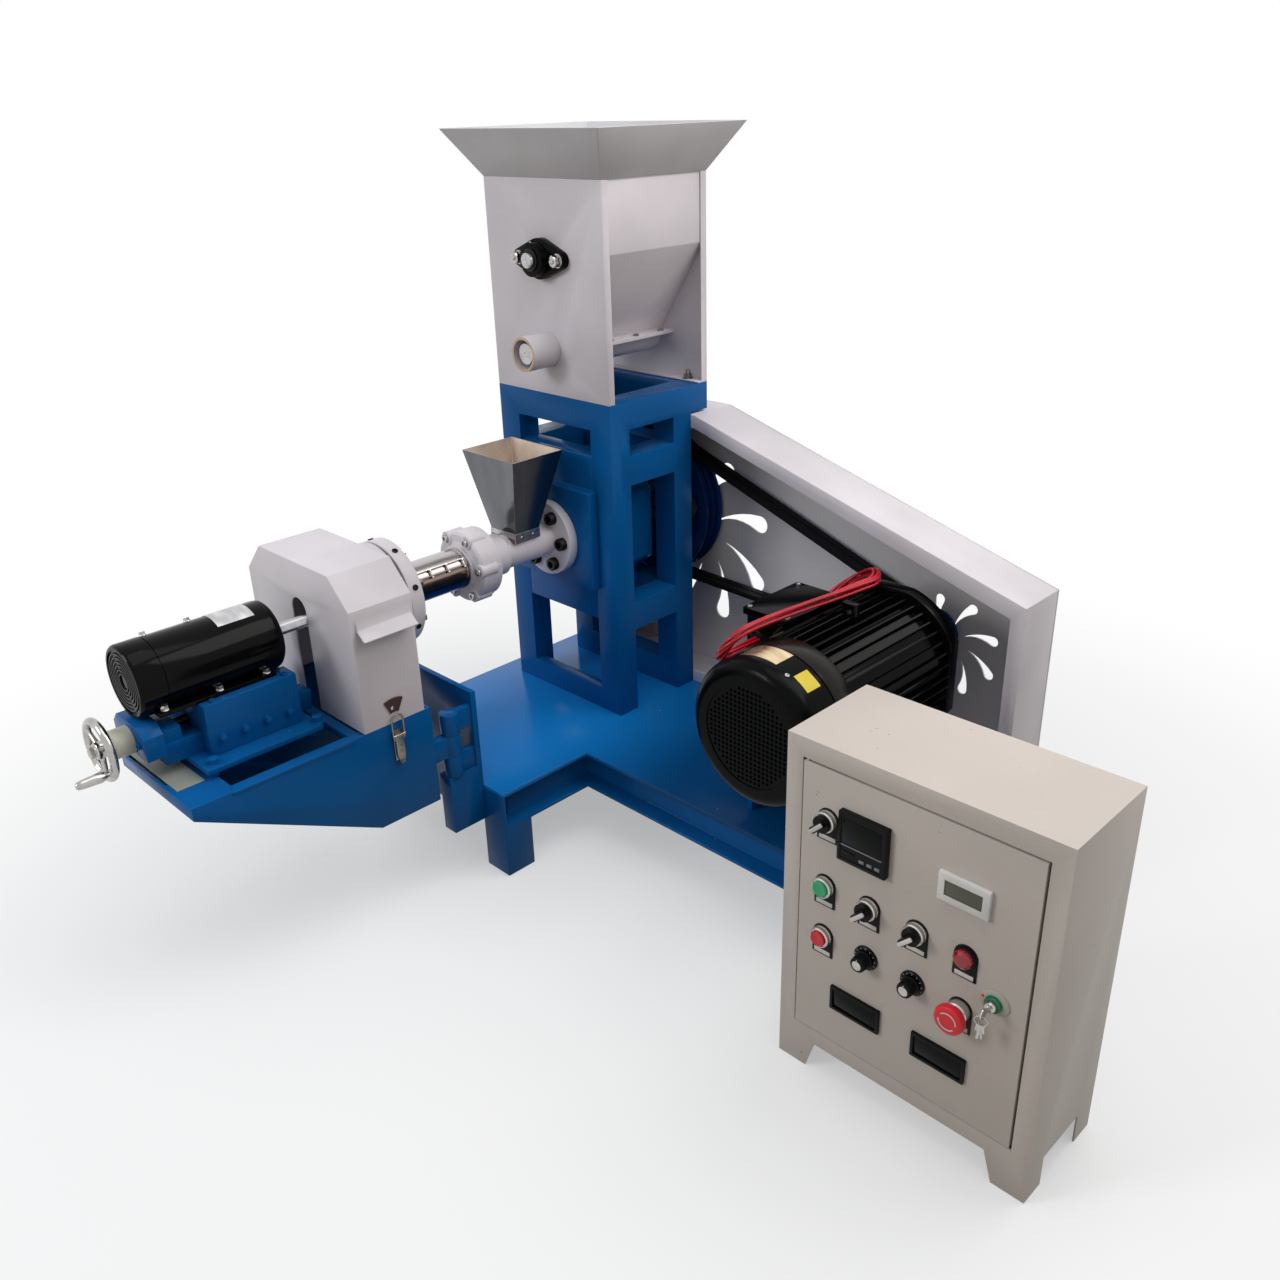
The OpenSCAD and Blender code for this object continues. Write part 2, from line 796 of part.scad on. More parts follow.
module motor_stand() {
    half = 95;
    y0 = motor_y0 + cowl_len + 25;
    y1 = motor_back - 20;
    color(blue) place() {
        box([motor_x - half - 25, y0, foot_z - 10], [motor_x + half + 25, y1, foot_z]);
        for (x = [motor_x - half - 5, motor_x + half - 5])
            box([x, y0, deck_top], [x + 10, y1, foot_z - 10]);
        box([motor_x - half, y1 - 10, deck_top], [motor_x + half, y1, foot_z - 10]);
    }
}

module drive_motor() {
    fins = 40;
    fin_h = 14;
    r = motor_r;
    y0 = motor_y0 + cowl_len;
    shield = 30;
    color(black) place() difference() {
        union() {
            slab_y(y0, motor_back - shield) translate([motor_x, motor_z]) {
                circle(r = r - fin_h);
                for (i = [0 : fins - 1]) rotate(360 * (i + 0.5) / fins)
                    translate([0, -1.5]) square([r - 0.1, 3]);
            }
            intersection() {
                bar_y(motor_x, motor_z, motor_back - shield, motor_back - 6, r + 11);
                box([motor_x - r + 4, motor_back - shield, motor_z - r - 1],
                    [motor_x + r - 4, motor_back - 6, motor_z + r + 8]);
            }
            bar_y(motor_x, motor_z, motor_back - 6, motor_back, 70);
            box([motor_x - 13, y0 + 143, motor_z + r - 20], [motor_x + 13, y0 + 155, motor_z + r + 18]);
            for (y = [y0 + 35, motor_back - shield - 45])
                for (x = [motor_x - r + 9, motor_x + r - 49])
                    box([x, y, foot_z], [x + 40, y + 40, foot_z + 14]);
            for (y = [y0 + 35, motor_back - shield - 45])
                for (x = [motor_x - r + 27, motor_x + r - 45])
                    box([x, y + 8, foot_z], [x + 18, y + 32, motor_z - 60]);
        }
        bar_y(motor_x, motor_z, motor_back - shield, motor_back + 1, motor_shaft_r + fit);
        bar_y(motor_x, motor_z + r + 6, y0 + 125, y0 + 185, 6);
    }
}

module fan_cowl() {
    r = motor_r;
    front = motor_y0;
    bevel = 20;
    slots = 4;
    color(black) place() difference() {
        translate([motor_x, front + cowl_len, motor_z]) rotate([90, 0, 0]) rotate_extrude()
            polygon([[0, 0], [r, 0], [r, cowl_len - bevel], [r - bevel, cowl_len], [0, cowl_len]]);
        bar_y(motor_x, motor_z, front + 4, front + cowl_len - 30, r - bevel - 4);
        for (i = [0 : slots - 1]) difference() {
            bar_y(motor_x, motor_z, front - 1, front + 5, 38 + 15 * i + 6);
            bar_y(motor_x, motor_z, front - 2, front + 6, 38 + 15 * i);
            for (a = [0, 90]) translate([motor_x, front, motor_z]) rotate([0, a + 45, 0])
                cube([2 * r, 20, 8], center = true);
        }
    }
}

box_x = motor_x - motor_r - 21;
box_z = motor_z + 26;
box_y = -43;
module terminal_box() {
    w = 84;
    d = 130;
    h = 92;
    color(black) place() difference() {
        union() {
            box([box_x, box_y, box_z], [box_x + w, box_y + d, box_z + h - 12]);
            box([box_x - 5, box_y - 5, box_z + h - 12], [box_x + w + 3, box_y + d + 5, box_z + h]);
            for (y = [box_y, box_y + d + 12]) bar_y(box_x + 30, box_z + 45, y - 12, y, 15);
        }
        bar_y(motor_x, motor_z, box_y - 20, box_y + d + 20, motor_r + 0.2);
    }
}

// Spare motor leads in one bundle: out of the box's front gland, over the motor and back
lead_r_out = 10;
// Half a loop between two places [x, z], which swings out to y + reach and bulges up to the left
function half_loop(a, b, y, reach, bulge) = [for (t = [0 : 30 : 180]) [
    (a[0] + b[0]) / 2 + cos(t) * (a[0] - b[0]) / 2 - 0.6 * bulge * sin(t),
    y + reach * sin(t),
    (a[1] + b[1]) / 2 + cos(t) * (a[1] - b[1]) / 2 + 0.8 * bulge * sin(t)
]];

lead_near = -129.5;
lead_run = 271;
LEAD = concat(
    [[377, -55, 463], [377, -71, 463], [377.5, -93, 463.5], [379, -112, 464.5]],
    half_loop([380.5, 466], [424.5, 522], lead_near, -36, 0),
    [for (t = [0.125 : 0.125 : 0.875])
        [424.5 + 34 * t * t, lead_near + lead_run * t, 522 + 7 * t * t * t]],
    half_loop([458.5, 529], [369, 468], lead_near + lead_run, 48, 13),
    [[371, 131, 465.3], [375.2, 121, 463.6], [377, 111, 463], [377, 99, 463]]
);

function unit(v) = v / norm(v);
function lead_dir(i) = unit(LEAD[min(i + 1, len(LEAD) - 1)] - LEAD[max(i - 1, 0)]);
// A side vector that stays level, so the rings don't twist
function lead_side(i) = let (d = lead_dir(i), s = cross(d, [0, 0.05, 1])) unit(s);

module motor_leads() {
    sides = 8;
    n = len(LEAD);
    pts = [for (i = [0 : n - 1]) let (u = lead_side(i), v = cross(lead_dir(i), u))
        for (k = [0 : sides - 1])
            LEAD[i] + lead_r_out * (cos(360 * k / sides) * u + sin(360 * k / sides) * v)];
    walls = [for (i = [0 : n - 2]) for (k = [0 : sides - 1]) let (
        a = i * sides + k, b = i * sides + (k + 1) % sides)
        [a, a + sides, b + sides, b]];
    ends = [[for (k = [0 : sides - 1]) k], [for (k = [0 : sides - 1]) n * sides - 1 - k]];
    color("#a3162c") place() polyhedron(points = pts, faces = concat(walls, ends));
}

// ---- Cutter table ----

hinge_third = hinge_h / 3;
module hinge_bracket() {
    t = 10;
    post_x = hood_r_x - 30;
    color(blue) place() difference() {
        union() {
            box([axis_x - hood_w / 2, plate_y - t, leg_h + 7], [hood_r_x, plate_y, table_z - 5]);
            box([post_x, hinge_y - 17, leg_h + 7], [hood_r_x, plate_y - t, hinge_top - hinge_h - fit]);
            for (z = [hinge_top - hinge_h, hinge_top - hinge_third]) {
                translate([hinge_x, hinge_y, z]) cylinder(h = hinge_third - fit, r = hinge_r);
                box([hinge_x - 6, hinge_y, z], [hinge_x + 6, plate_y - t, z + hinge_third - fit]);
            }
            translate([hinge_x, hinge_y, hinge_top - hinge_h]) cylinder(h = hinge_h - fit, r = hinge_r / 2);
        }
    }
}

// Side view of the table: deep at the hood, tapering to a shallow rim in front
function table_side() = [
    [table_front, table_z - pan_rim], [table_front, table_z], [table_back, table_z],
    [table_back, table_z - pan_h], [table_back - 116, table_z - pan_h]
];

module cutter_table() {
    t = pan_t;
    xl = axis_x - hood_w / 2;
    xr = hood_r_x;
    xf = xr - pan_front_w;
    knuckle = hinge_top - 2 * hinge_third;
    slope_y = table_back - 116;
    color(blue) place() difference() {
        union() {
            difference() {
                intersection() {
                    slab_x(xl, xr) polygon(table_side());
                    translate([0, 0, table_z - pan_h - 1]) linear_extrude(height = pan_h + 2) polygon([
                        [xr, table_front], [xf, table_front], [xl, slope_y - 20], [xl, table_back],
                        [xr, table_back]
                    ]);
                }
                // The room inside, open at the top and through the discharge at the bottom
                intersection() {
                    slab_x(xl + t, xr - t) polygon([
                        [table_front + t, table_z - pan_rim + t], [table_front + t, table_z + 1],
                        [table_back - t, table_z + 1], [table_back - t, table_z - pan_h - 1],
                        [slope_y, table_z - pan_h - 1], [slope_y, table_z - pan_h + t]
                    ]);
                    translate([0, 0, table_z - pan_h - 2]) linear_extrude(height = pan_h + 4) polygon([
                        [xr - t, table_front + t], [xf + t, table_front + t], [xl + t, slope_y - 20],
                        [xl + t, table_back - t], [xr - t, table_back - t]
                    ]);
                }
            }
            // Shelf that carries the slide
            box([axis_x - slide_plate_w / 2 + 6, slide_y - 6, table_z - 12],
                [xr - t, slide_y + 16, table_z]);
            box([xr - 92, table_front + t - 1, table_z - 12], [xr - t + 1, slide_y + 16, table_z]);
            box([xl + t, hood_front - 20, table_z - 12], [xr - t, hood_front - 4, table_z]);
            translate([hinge_x, hinge_y, knuckle]) cylinder(h = hinge_third - fit, r = hinge_r);
            box([hinge_x - 8, table_back - t, knuckle], [hinge_x + 8, hinge_y, knuckle + hinge_third - fit]);
        }
        translate([hinge_x, hinge_y, knuckle - 1]) cylinder(h = hinge_third + 2, r = hinge_r / 2 + fit);
    }
}

module catch_sheet() {
    t = 2;
    color(grey) place() translate([0, 0, table_z - 12 - t]) linear_extrude(height = t) polygon([
        [hood_r_x - pan_front_w + 12, table_front + pan_t + 3],
        [hood_r_x - 92, table_front + pan_t + 3],
        [hood_r_x - 92, slide_y + 8],
        [hood_r_x - pan_front_w + 12, slide_y + 8]
    ]);
}

// Base plate, dovetail way and the two end blocks of the slide
module slide_bed() {
    way_w = 92;
    way_h = 36;
    z = slide_z;
    p = slide_plate_w / 2;
    y0 = slide_y;
    y1 = slide_y + slide_plate_l;
    block_y = table_front - 9;
    color(blue) place() difference() {
        union() {
            box([axis_x - p, y0, z], [axis_x + p, y1, z + 8]);
            for (y = [y0 + 6, y1 - 22]) for (s = [-1, 1])
                translate([axis_x + s * (p - 16), y + 8, table_z]) cylinder(h = z - table_z, r = 8);
            slab_y(block_y + 30, y1 + 16) polygon([
                [axis_x - way_w / 2 + 8, z + 8], [axis_x + way_w / 2 - 8, z + 8],
                [axis_x + way_w / 2, z + 8 + way_h], [axis_x - way_w / 2, z + 8 + way_h]
            ]);
            slab_y(block_y, block_y + 30) polygon([
                [axis_x - 50, z + 30], [axis_x + 50, z + 30], [axis_x + 50, lead_z + 14],
                [axis_x + 34, lead_z + 30], [axis_x - 34, lead_z + 30], [axis_x - 50, lead_z + 14]
            ]);
        }
        bar_y(axis_x, lead_z, block_y - 1, y1 + 17, lead_r + fit);
        box([axis_x - 12, block_y + 30, z + 2 + way_h], [axis_x + 12, y1 + 17, z + 9 + way_h]);
    }
}

// The saddle on the way, with the cradle that the cutter's motor lies in
module carriage() {
    w = carriage_w / 2;
    z0 = slide_z + 8 + fit;
    way_w = 92;
    top = screw_z - cutter_motor_r + 8;
    color(blue) place() difference() {
        box([axis_x - w, carriage_front, z0], [axis_x + w, carriage_front + carriage_l, top]);
        slab_y(carriage_front - 1, carriage_front + carriage_l + 1) polygon([
            [axis_x - way_w / 2 + 8 - fit, z0 - 1], [axis_x + way_w / 2 - 8 + fit, z0 - 1],
            [axis_x + way_w / 2 + fit, slide_z + 44 + fit],
            [axis_x - way_w / 2 - fit, slide_z + 44 + fit]
        ]);
        bar_y(axis_x, screw_z, carriage_front - 1, carriage_front + carriage_l + 1, cutter_motor_r);
        bar_y(axis_x, lead_z, carriage_front - 1, carriage_front + carriage_l + 1, lead_r + fit);
    }
}

module cutter_motor() {
    y0 = motor_front - cutter_motor_l;
    r = cutter_motor_r;
    color(black) place() difference() {
        translate([axis_x, motor_front, screw_z]) rotate([90, 0, 0]) rotate_extrude() polygon([
            [0, 0], [r - 5, 0], [r, 5], [r, cutter_motor_l - 8], [r - 8, cutter_motor_l],
            [0, cutter_motor_l]
        ]);
        bar_y(axis_x, screw_z, motor_front - 30, motor_front + 1, cutter_shaft_r + fit);
        for (i = [0 : 6]) box([axis_x - 32, y0 - 1, screw_z - 33 + 10 * i],
                              [axis_x + 32, y0 + 3, screw_z - 29 + 10 * i]);
    }
}

// The cutter's shaft, hub and four blades in front of the die
module cutter_blades() {
    gap = 6;
    color(steel) place() {
        bar_y(axis_x, screw_z, motor_front - 29, die_front - gap, cutter_shaft_r);
        bar_y(axis_x, screw_z, die_front - gap - 16, die_front - gap, 18);
        for (a = [0, 90]) translate([axis_x, die_front - gap - 5, screw_z]) rotate([0, a, 0])
            cube([2 * blade_r, 6, 14], center = true);
    }
}

module handwheel_collar() {
    color("#d9d2bf") place() difference() {
        bar_y(axis_x, lead_z, table_front - 9 - 28, table_front - 9, 22);
        bar_y(axis_x, lead_z, table_front - 9 - 29, table_front - 8, lead_r + fit);
    }
}

module handwheel() {
    r = wheel_r;
    rim = 6.5;
    hub_r = 13;
    color("silver") place() {
        translate([axis_x, wheel_y, lead_z]) rotate([90, 0, 0])
            rotate_extrude() translate([r - rim, 0]) circle(r = rim);
        bar_y(axis_x, lead_z, wheel_y - 9, wheel_y + 14, hub_r);
        bar_y(axis_x, lead_z, wheel_y, slide_y + slide_plate_l + 10, lead_r);
        for (a = [30, 150, 270]) translate([axis_x, wheel_y, lead_z]) rotate([0, -a, 0])
            translate([0, -4, -4]) cube([r - rim, 8, 8]);
        translate([axis_x + (r - rim) * cos(-30), 0, lead_z + (r - rim) * sin(-30)]) {
            bar_y(0, 0, crank_y + 8, wheel_y, 4.5);
            bar_y(0, 0, crank_y, crank_y + 44, 8);
        }
    }
}

function hood_outline(d) = let (w = hood_w / 2 - d, top = hood_top - d, b = hood_bevel - d * 0.4) [
    [axis_x - w, table_z], [axis_x + w, table_z], [axis_x + w, top - b], [axis_x + w - b, top],
    [axis_x - w + b, top], [axis_x - w, top - b]
];

module hood() {
    t = hood_t;
    visor_z = hood_top - hood_bevel - 8;
    color(pale) place() difference() {
        union() {
            difference() {
                slab_y(hood_front, hood_back) polygon(hood_outline(0));
                slab_y(hood_front + t, hood_back - t) union() {
                    polygon(hood_outline(t));
                    translate([axis_x - hood_w / 2 + t, table_z - 1]) square([hood_w - 2 * t, 10]);
                }
            }
            difference() {
                bar_y(axis_x, screw_z, hood_back - t, collar_y, ring_r);
                bar_y(axis_x, screw_z, hood_back - t - 1, collar_y + 1, ring_r - t);
            }
            slab_y(hood_front + 9, hood_back - 6) polygon([
                [hood_r_x - t, visor_z - 14], [hood_r_x, visor_z - 6], [hood_r_x + 4, visor_z - 22],
                [hood_r_x + 18, visor_z - 34], [hood_r_x + 22, visor_z - 35], [hood_r_x + 22, visor_z - 38],
                [hood_r_x + 16, visor_z - 37], [hood_r_x, visor_z - 25]
            ]);
        }
        bar_y(axis_x, screw_z, hood_back - t - 1, collar_y + 2, ring_r - t);
        bar_y(axis_x, screw_z + 20, hood_front - 1, hood_front + t + 1, slot_w / 2);
        box([axis_x - slot_w / 2, hood_front - 1, table_z - 1],
            [axis_x + slot_w / 2, hood_front + t + 1, screw_z + 20]);
    }
}

// Toggle latch on the right-hand side: keeper on the hood, lever on the table
module hood_latch() {
    x = hood_r_x;
    y = (hood_front + hood_back) / 2;
    z = table_z;
    color("#6a665e") place() {
        slab_x(x, x + 3) polygon([
            [y - 8, z + 21], [y + 8, z + 21], [y + 18, z + 38], [y, z + 45], [y - 18, z + 38]
        ]);
        box([x, y - 9, z - 58], [x + 3, y + 9, z - 16]);
        box([x + 4, y - 8, z - 62], [x + 9, y + 8, z - 24]);
        bar_y(x + 6, z - 22, y - 14, y + 14, 3);
        for (s = [-1, 1]) box([x + 3.5, y + s * 12 - 1.5, z - 22], [x + 6.5, y + s * 12 + 1.5, z + 22]);
        box([x + 3, y - 13.5, z + 20], [x + 6, y + 13.5, z + 23]);
        box([x + 2, y - 6, z - 26], [x + 5, y + 6, z - 20]);
    }
}

// ---- Cabinet ----

hinge_pin_r = 2;
hinge_in = 4;
module hinge_pins(r, over) {
    for (z = [[door_z - door_gap - 1, door_z + 8], [door_z + door_h - 8, door_z + door_h + door_gap + 1]])
        translate([door_x + hinge_in, face_y + hinge_in, z[0] - over])
            cylinder(h = z[1] - z[0] + 2 * over, r = r);
}

module cabinet_box() {
    x = cab_x();
    t = cab_t;
    fold = 12;
    color(beige) place() {
        difference() {
            box([x, cab_y, cab_z], [x + cab_w, cab_y + cab_d, cab_z + cab_h]);
            box([x + t, cab_y + t, cab_z + t], [x + cab_w - t, cab_y + cab_d - t, cab_z + cab_h - t]);
            box([door_x - door_gap, cab_y - 1, door_z - door_gap],
                [door_x + door_w + door_gap, cab_y + t + 1, door_z + door_h + door_gap]);
        }
        for (py = [cab_y, cab_y + cab_d - t]) slab_y(py, py + t) for (s = [-1, 1])
            translate([x + cab_w / 2, 0]) scale([s, 1]) polygon([
                [cab_w / 2, 0], [cab_w / 2 - 46, 0], [cab_w / 2 - 60, cab_z], [cab_w / 2, cab_z]
            ]);
        for (px = [x, x + cab_w - t]) for (py = [cab_y, cab_y + cab_d - 40])
            box([px, py, 0], [px + t, py + 40, cab_z]);
        // Lugs behind the frame that hold the door's pins
        for (z = [door_z - door_gap - 5, door_z + door_h + door_gap])
            box([door_x - 12, cab_y, z], [door_x + 12, cab_y + 14, z + 5]);
        hinge_pins(hinge_pin_r, 0);
    }
}

module cabinet_door() {
    t = cab_t;
    y = cab_y - t;
    color(beige) place() {
        difference() {
            box([door_x, y, door_z], [door_x + door_w, y + door_t, door_z + door_h]);
            box([door_x + t, y + t, door_z + t], [door_x + door_w - t, y + door_t + 1, door_z + door_h - t]);
            hinge_pins(hinge_pin_r + fit, 1);
        }
    }
}

// Places of the controls on the door, from the cabinet's left edge and the floor
selectors = [[69, 422], [137, 322], [206, 322]];
knobs = [[137, 243], [206, 243]];
start_at = [69, 322];
stop_at = [69, 243];
lamp_at = [273, 322];
estop_at = [273, 243];
lock_at = [315, 278];
face_y = cab_y - cab_t;

// Something on the door's face at u, v, standing out towards the front
module on_door(at) {
    translate([cab_x() + at[0], face_y, at[1]]) rotate([90, 0, 0]) children();
}

module bezel(w, h, depth, frame, sunk) {
    translate([-w / 2, -h / 2, 0]) difference() {
        cube([w, h, depth]);
        translate([frame, frame, depth - sunk]) cube([w - 2 * frame, h - 2 * frame, sunk + 1]);
    }
}

module panel_instruments() {
    color(black) place() {
        on_door([125, 414]) bezel(72, 72, 10, 7, 3);
        on_door([125, 152]) bezel(77, 38, 5, 3, 2);
        on_door([250, 152]) bezel(77, 38, 5, 3, 2);
        on_door([264, 408]) bezel(68, 40, 7, 10, 3);
    }
}

// Legend plate and collar of one control; the bore takes the moving piece
module switch_collar(depth, bore) {
    difference() {
        union() {
            linear_extrude(height = 1.5) union() {
                circle(r = 16);
                translate([-16, -32]) square([32, 32]);
            }
            cylinder(h = depth, r = collar_r);
        }
        translate([0, 0, 1.5]) cylinder(h = depth, r = bore);
    }
}

module switch_collars() {
    pin = 7;
    color(black) place() {
        for (p = selectors) on_door(p) switch_collar(12, pin);
        for (p = [start_at, stop_at]) on_door(p) switch_collar(12, 11.5);
        on_door(estop_at) switch_collar(14, pin);
        on_door(lamp_at) union() {
            switch_collar(6, 0.5);
            translate([0, 0, 6]) cylinder(h = 8, r1 = 13, r2 = 10);
        }
        for (p = knobs) on_door(p) difference() {
            cylinder(h = 4, r = 17);
            translate([0, 0, 1]) cylinder(h = 4, r = pin - 3);
        }
    }
}

module selector(at) {
    color(black) place() on_door(at) {
        translate([0, 0, 2]) cylinder(h = 10.5, r = 7 - fit);
        translate([0, 0, 12.5]) cylinder(h = 6, r = 12.5);
        rotate(-45) translate([-3.5, -11, 12.5]) cube([7, 22, 18]);
    }
}
module selector_1() { selector(selectors[0]); }
module selector_2() { selector(selectors[1]); }
module selector_3() { selector(selectors[2]); }

module speed_knob(at) {
    color(black) place() on_door(at) {
        translate([0, 0, 1.5]) cylinder(h = 3, r = 4 - fit);
        translate([0, 0, 4.5]) cylinder(h = 18, r = 12);
    }
}
module speed_knob_1() { speed_knob(knobs[0]); }
module speed_knob_2() { speed_knob(knobs[1]); }

module push_button(at, tint) {
    color(tint) place() on_door(at) translate([0, 0, 6]) cylinder(h = 9, r = 11.5 - fit);
}
module start_button() { push_button(start_at, "#159050"); }
module stop_button() { push_button(stop_at, "#c4202c"); }

module emergency_stop() {
    press = 5;
    color("#d02028") place() on_door(estop_at) {
        translate([0, 0, 7]) cylinder(h = 7 + press + 1, r = 7 - fit);
        translate([0, 0, 14 + press + 0.5]) cylinder(h = 12, r = stop_r);
    }
}

module door_lock() {
    color(steel) place() on_door(lock_at) {
        cylinder(h = 2, r = 20);
        cylinder(h = 14, r = 10);
        translate([-1, -8, 14]) cube([2, 16, 20]);
        translate([-7, -42, 22]) cube([2, 42, 9]);
        translate([-7, -5, 24]) cube([8, 3, 3]);
    }
}

base_frame();
base_deck();
tower_frame();
tower_front_plate();
bearing_housing();
hopper_front_plate();
hopper_back_plate();
hopper_funnel();
hopper_flare();
feed_trough();
feed_tube();
flange_bearings();
agitator();
feed_auger();
inlet_chute();
barrel_neck();
barrel_clamp();
band_heater();
die_ring();
die_plate();
main_screw();
screw_pulley();
drive_belts();
belt_guard();
guard_back_panel();
motor_stand();
drive_motor();
fan_cowl();
terminal_box();
motor_pulley();
motor_leads();
hinge_bracket();
cutter_table();
catch_sheet();
slide_bed();
hood();
hood_latch();
handwheel_collar();
carriage();
cutter_motor();
cutter_blades();
handwheel();
cabinet_box();
cabinet_door();
door_lock();
panel_instruments();
switch_collars();
selector_1();
selector_2();
selector_3();
speed_knob_1();
speed_knob_2();
start_button();
stop_button();
emergency_stop();
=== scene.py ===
import json
import math

import bmesh
import bpy
from mathutils import Matrix, Vector

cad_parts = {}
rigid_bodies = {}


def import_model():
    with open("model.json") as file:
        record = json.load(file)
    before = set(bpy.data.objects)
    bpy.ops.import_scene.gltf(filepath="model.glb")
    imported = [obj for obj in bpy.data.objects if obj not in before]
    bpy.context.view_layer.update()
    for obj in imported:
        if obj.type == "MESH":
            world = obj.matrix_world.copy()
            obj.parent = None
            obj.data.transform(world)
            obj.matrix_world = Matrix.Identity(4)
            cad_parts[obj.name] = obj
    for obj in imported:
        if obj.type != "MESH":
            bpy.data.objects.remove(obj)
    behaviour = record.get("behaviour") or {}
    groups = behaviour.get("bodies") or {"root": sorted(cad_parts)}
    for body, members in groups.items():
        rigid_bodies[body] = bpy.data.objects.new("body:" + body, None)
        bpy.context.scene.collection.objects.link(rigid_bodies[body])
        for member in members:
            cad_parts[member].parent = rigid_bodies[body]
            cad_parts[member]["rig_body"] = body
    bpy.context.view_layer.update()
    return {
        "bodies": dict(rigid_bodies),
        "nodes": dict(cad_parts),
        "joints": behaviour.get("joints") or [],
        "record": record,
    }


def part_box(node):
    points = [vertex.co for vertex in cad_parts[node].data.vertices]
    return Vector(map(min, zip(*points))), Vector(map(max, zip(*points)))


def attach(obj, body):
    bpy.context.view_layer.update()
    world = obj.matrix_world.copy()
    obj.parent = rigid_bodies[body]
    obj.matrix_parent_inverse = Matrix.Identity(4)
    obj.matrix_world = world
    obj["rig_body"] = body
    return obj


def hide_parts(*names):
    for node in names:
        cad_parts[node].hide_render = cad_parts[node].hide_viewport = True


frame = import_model()
nodes = frame["nodes"]
slots = {part["node"]: part["material_slot"] for part in frame["record"]["subparts"]}
toFront, toBack, toTop, toRight = (0, -1, 0), (0, 1, 0), (0, 0, 1), (1, 0, 0)
print("CAD frame loaded:", len(nodes), "nodes")

# The view: place in metres, turn and tilt in degrees, lens in millimetres
camera = {"place": (1.1082, -1.0582, 1.2519), "turn": 45.51, "down": 24.78, "roll": -1.75, "lens": 33.16}


def aimCamera():
    turn, down, roll = (math.radians(camera[k]) for k in ("turn", "down", "roll"))
    forward = Vector((-math.sin(turn) * math.cos(down), math.cos(turn) * math.cos(down), -math.sin(down)))
    right = Vector((math.cos(turn), math.sin(turn), 0))
    up = right.cross(forward)
    side = right * math.cos(roll) + up * math.sin(roll)
    top = up * math.cos(roll) - right * math.sin(roll)
    bpy.ops.object.camera_add(location=camera["place"])
    eye = bpy.context.object
    eye.name = "viewCamera"
    eye.matrix_world = Matrix.Translation(camera["place"]) @ Matrix((side, top, -forward)).transposed().to_4x4()
    eye.data.lens = camera["lens"]
    eye.data.sensor_width = 36
    bpy.context.scene.camera = eye


aimCamera()


# Handling pieces: selection, edit mode, rounding, placing
def clearAll():  # object mode, nothing selected
    if bpy.context.object and bpy.context.object.mode != "OBJECT":
        bpy.ops.object.mode_set(mode="OBJECT")
    bpy.ops.object.select_all(action="DESELECT")


def take(*pieces):  # these are selected, the first one active
    clearAll()
    for piece in pieces:
        piece.select_set(True)
    bpy.context.view_layer.objects.active = pieces[0]


def editFaces(piece=None):
    if piece:
        take(piece)
    bpy.ops.object.mode_set(mode="EDIT")
    bpy.ops.mesh.select_mode(type="FACE")


def selectAll():
    bpy.ops.mesh.select_all(action="SELECT")


def editAll(piece=None):
    editFaces(piece)
    selectAll()


def leaveEdit():
    bpy.ops.object.mode_set(mode="OBJECT")


def pickFaces(test):  # test takes a face's middle and its normal
    piece = bpy.context.object
    shape = bmesh.from_edit_mesh(piece.data)
    for face in shape.faces:
        face.select_set(bool(test(face.calc_center_median(), face.normal)))
    bmesh.update_edit_mesh(piece.data)


def pickSide(*direction):  # the faces that look that way
    pickFaces(lambda middle, normal: normal.dot(Vector(direction)) > 0.9)


def extrude(x, y, z):
    bpy.ops.mesh.extrude_region_move(TRANSFORM_OT_translate={"value": (x, y, z)})


def scale(x, y, z, **about):
    bpy.ops.transform.resize(value=(x, y, z), **about)


def thicken(thick):
    bpy.ops.mesh.extrude_region_shrink_fatten(TRANSFORM_OT_shrink_fatten={"value": thick})


def outward():  # doubles merged, then normals out, back in object mode
    editAll()
    bpy.ops.mesh.remove_doubles(threshold=0.00001)
    bpy.ops.mesh.normals_make_consistent(inside=False)
    leaveEdit()


def settle(piece):  # its place goes into its mesh
    piece.data.transform(piece.matrix_world)
    piece.matrix_world = Matrix.Identity(4)


def modify(piece, kind, **settings):
    take(piece)
    changer = piece.modifiers.new(kind.lower(), kind)
    for key, value in settings.items():
        setattr(changer, key, value)
    bpy.ops.object.modifier_apply(modifier=changer.name)


def rounded(piece, width, rings=2):
    modify(piece, "BEVEL", width=width, segments=rings, limit_method="ANGLE", angle_limit=math.radians(30),
           harden_normals=False, use_clamp_overlap=True)


def camel(name):
    first, *rest = name.split("_")
    return first + "".join(word.capitalize() for word in rest)


def finished(piece, node, name=None, slot=None, paint=None, angle=35):  # without a name it stands for the node
    settle(piece)
    slot = slot or slots[node]
    piece.name = piece.data.name = name or camel(node)
    piece.data.materials.clear()
    piece.data.materials.append(paints[paint or slot])
    take(piece)
    bpy.ops.object.shade_smooth_by_angle(angle=math.radians(angle))
    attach(piece, nodes[node]["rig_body"])
    if not name:
        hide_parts(node)


def towards(piece, place, axis, spin=0):  # its own Z axis comes to lie along axis
    turn = Vector(toTop).rotation_difference(Vector(axis).normalized()).to_matrix().to_4x4()
    piece.data.transform(Matrix.Translation(Vector(place)) @ turn @ Matrix.Rotation(math.radians(spin), 4, "Z"))
    return piece


def outline(*pairs):  # (along, radius) in millimetres, brought to metres
    return [(along / 1000, radius / 1000) for along, radius in pairs]


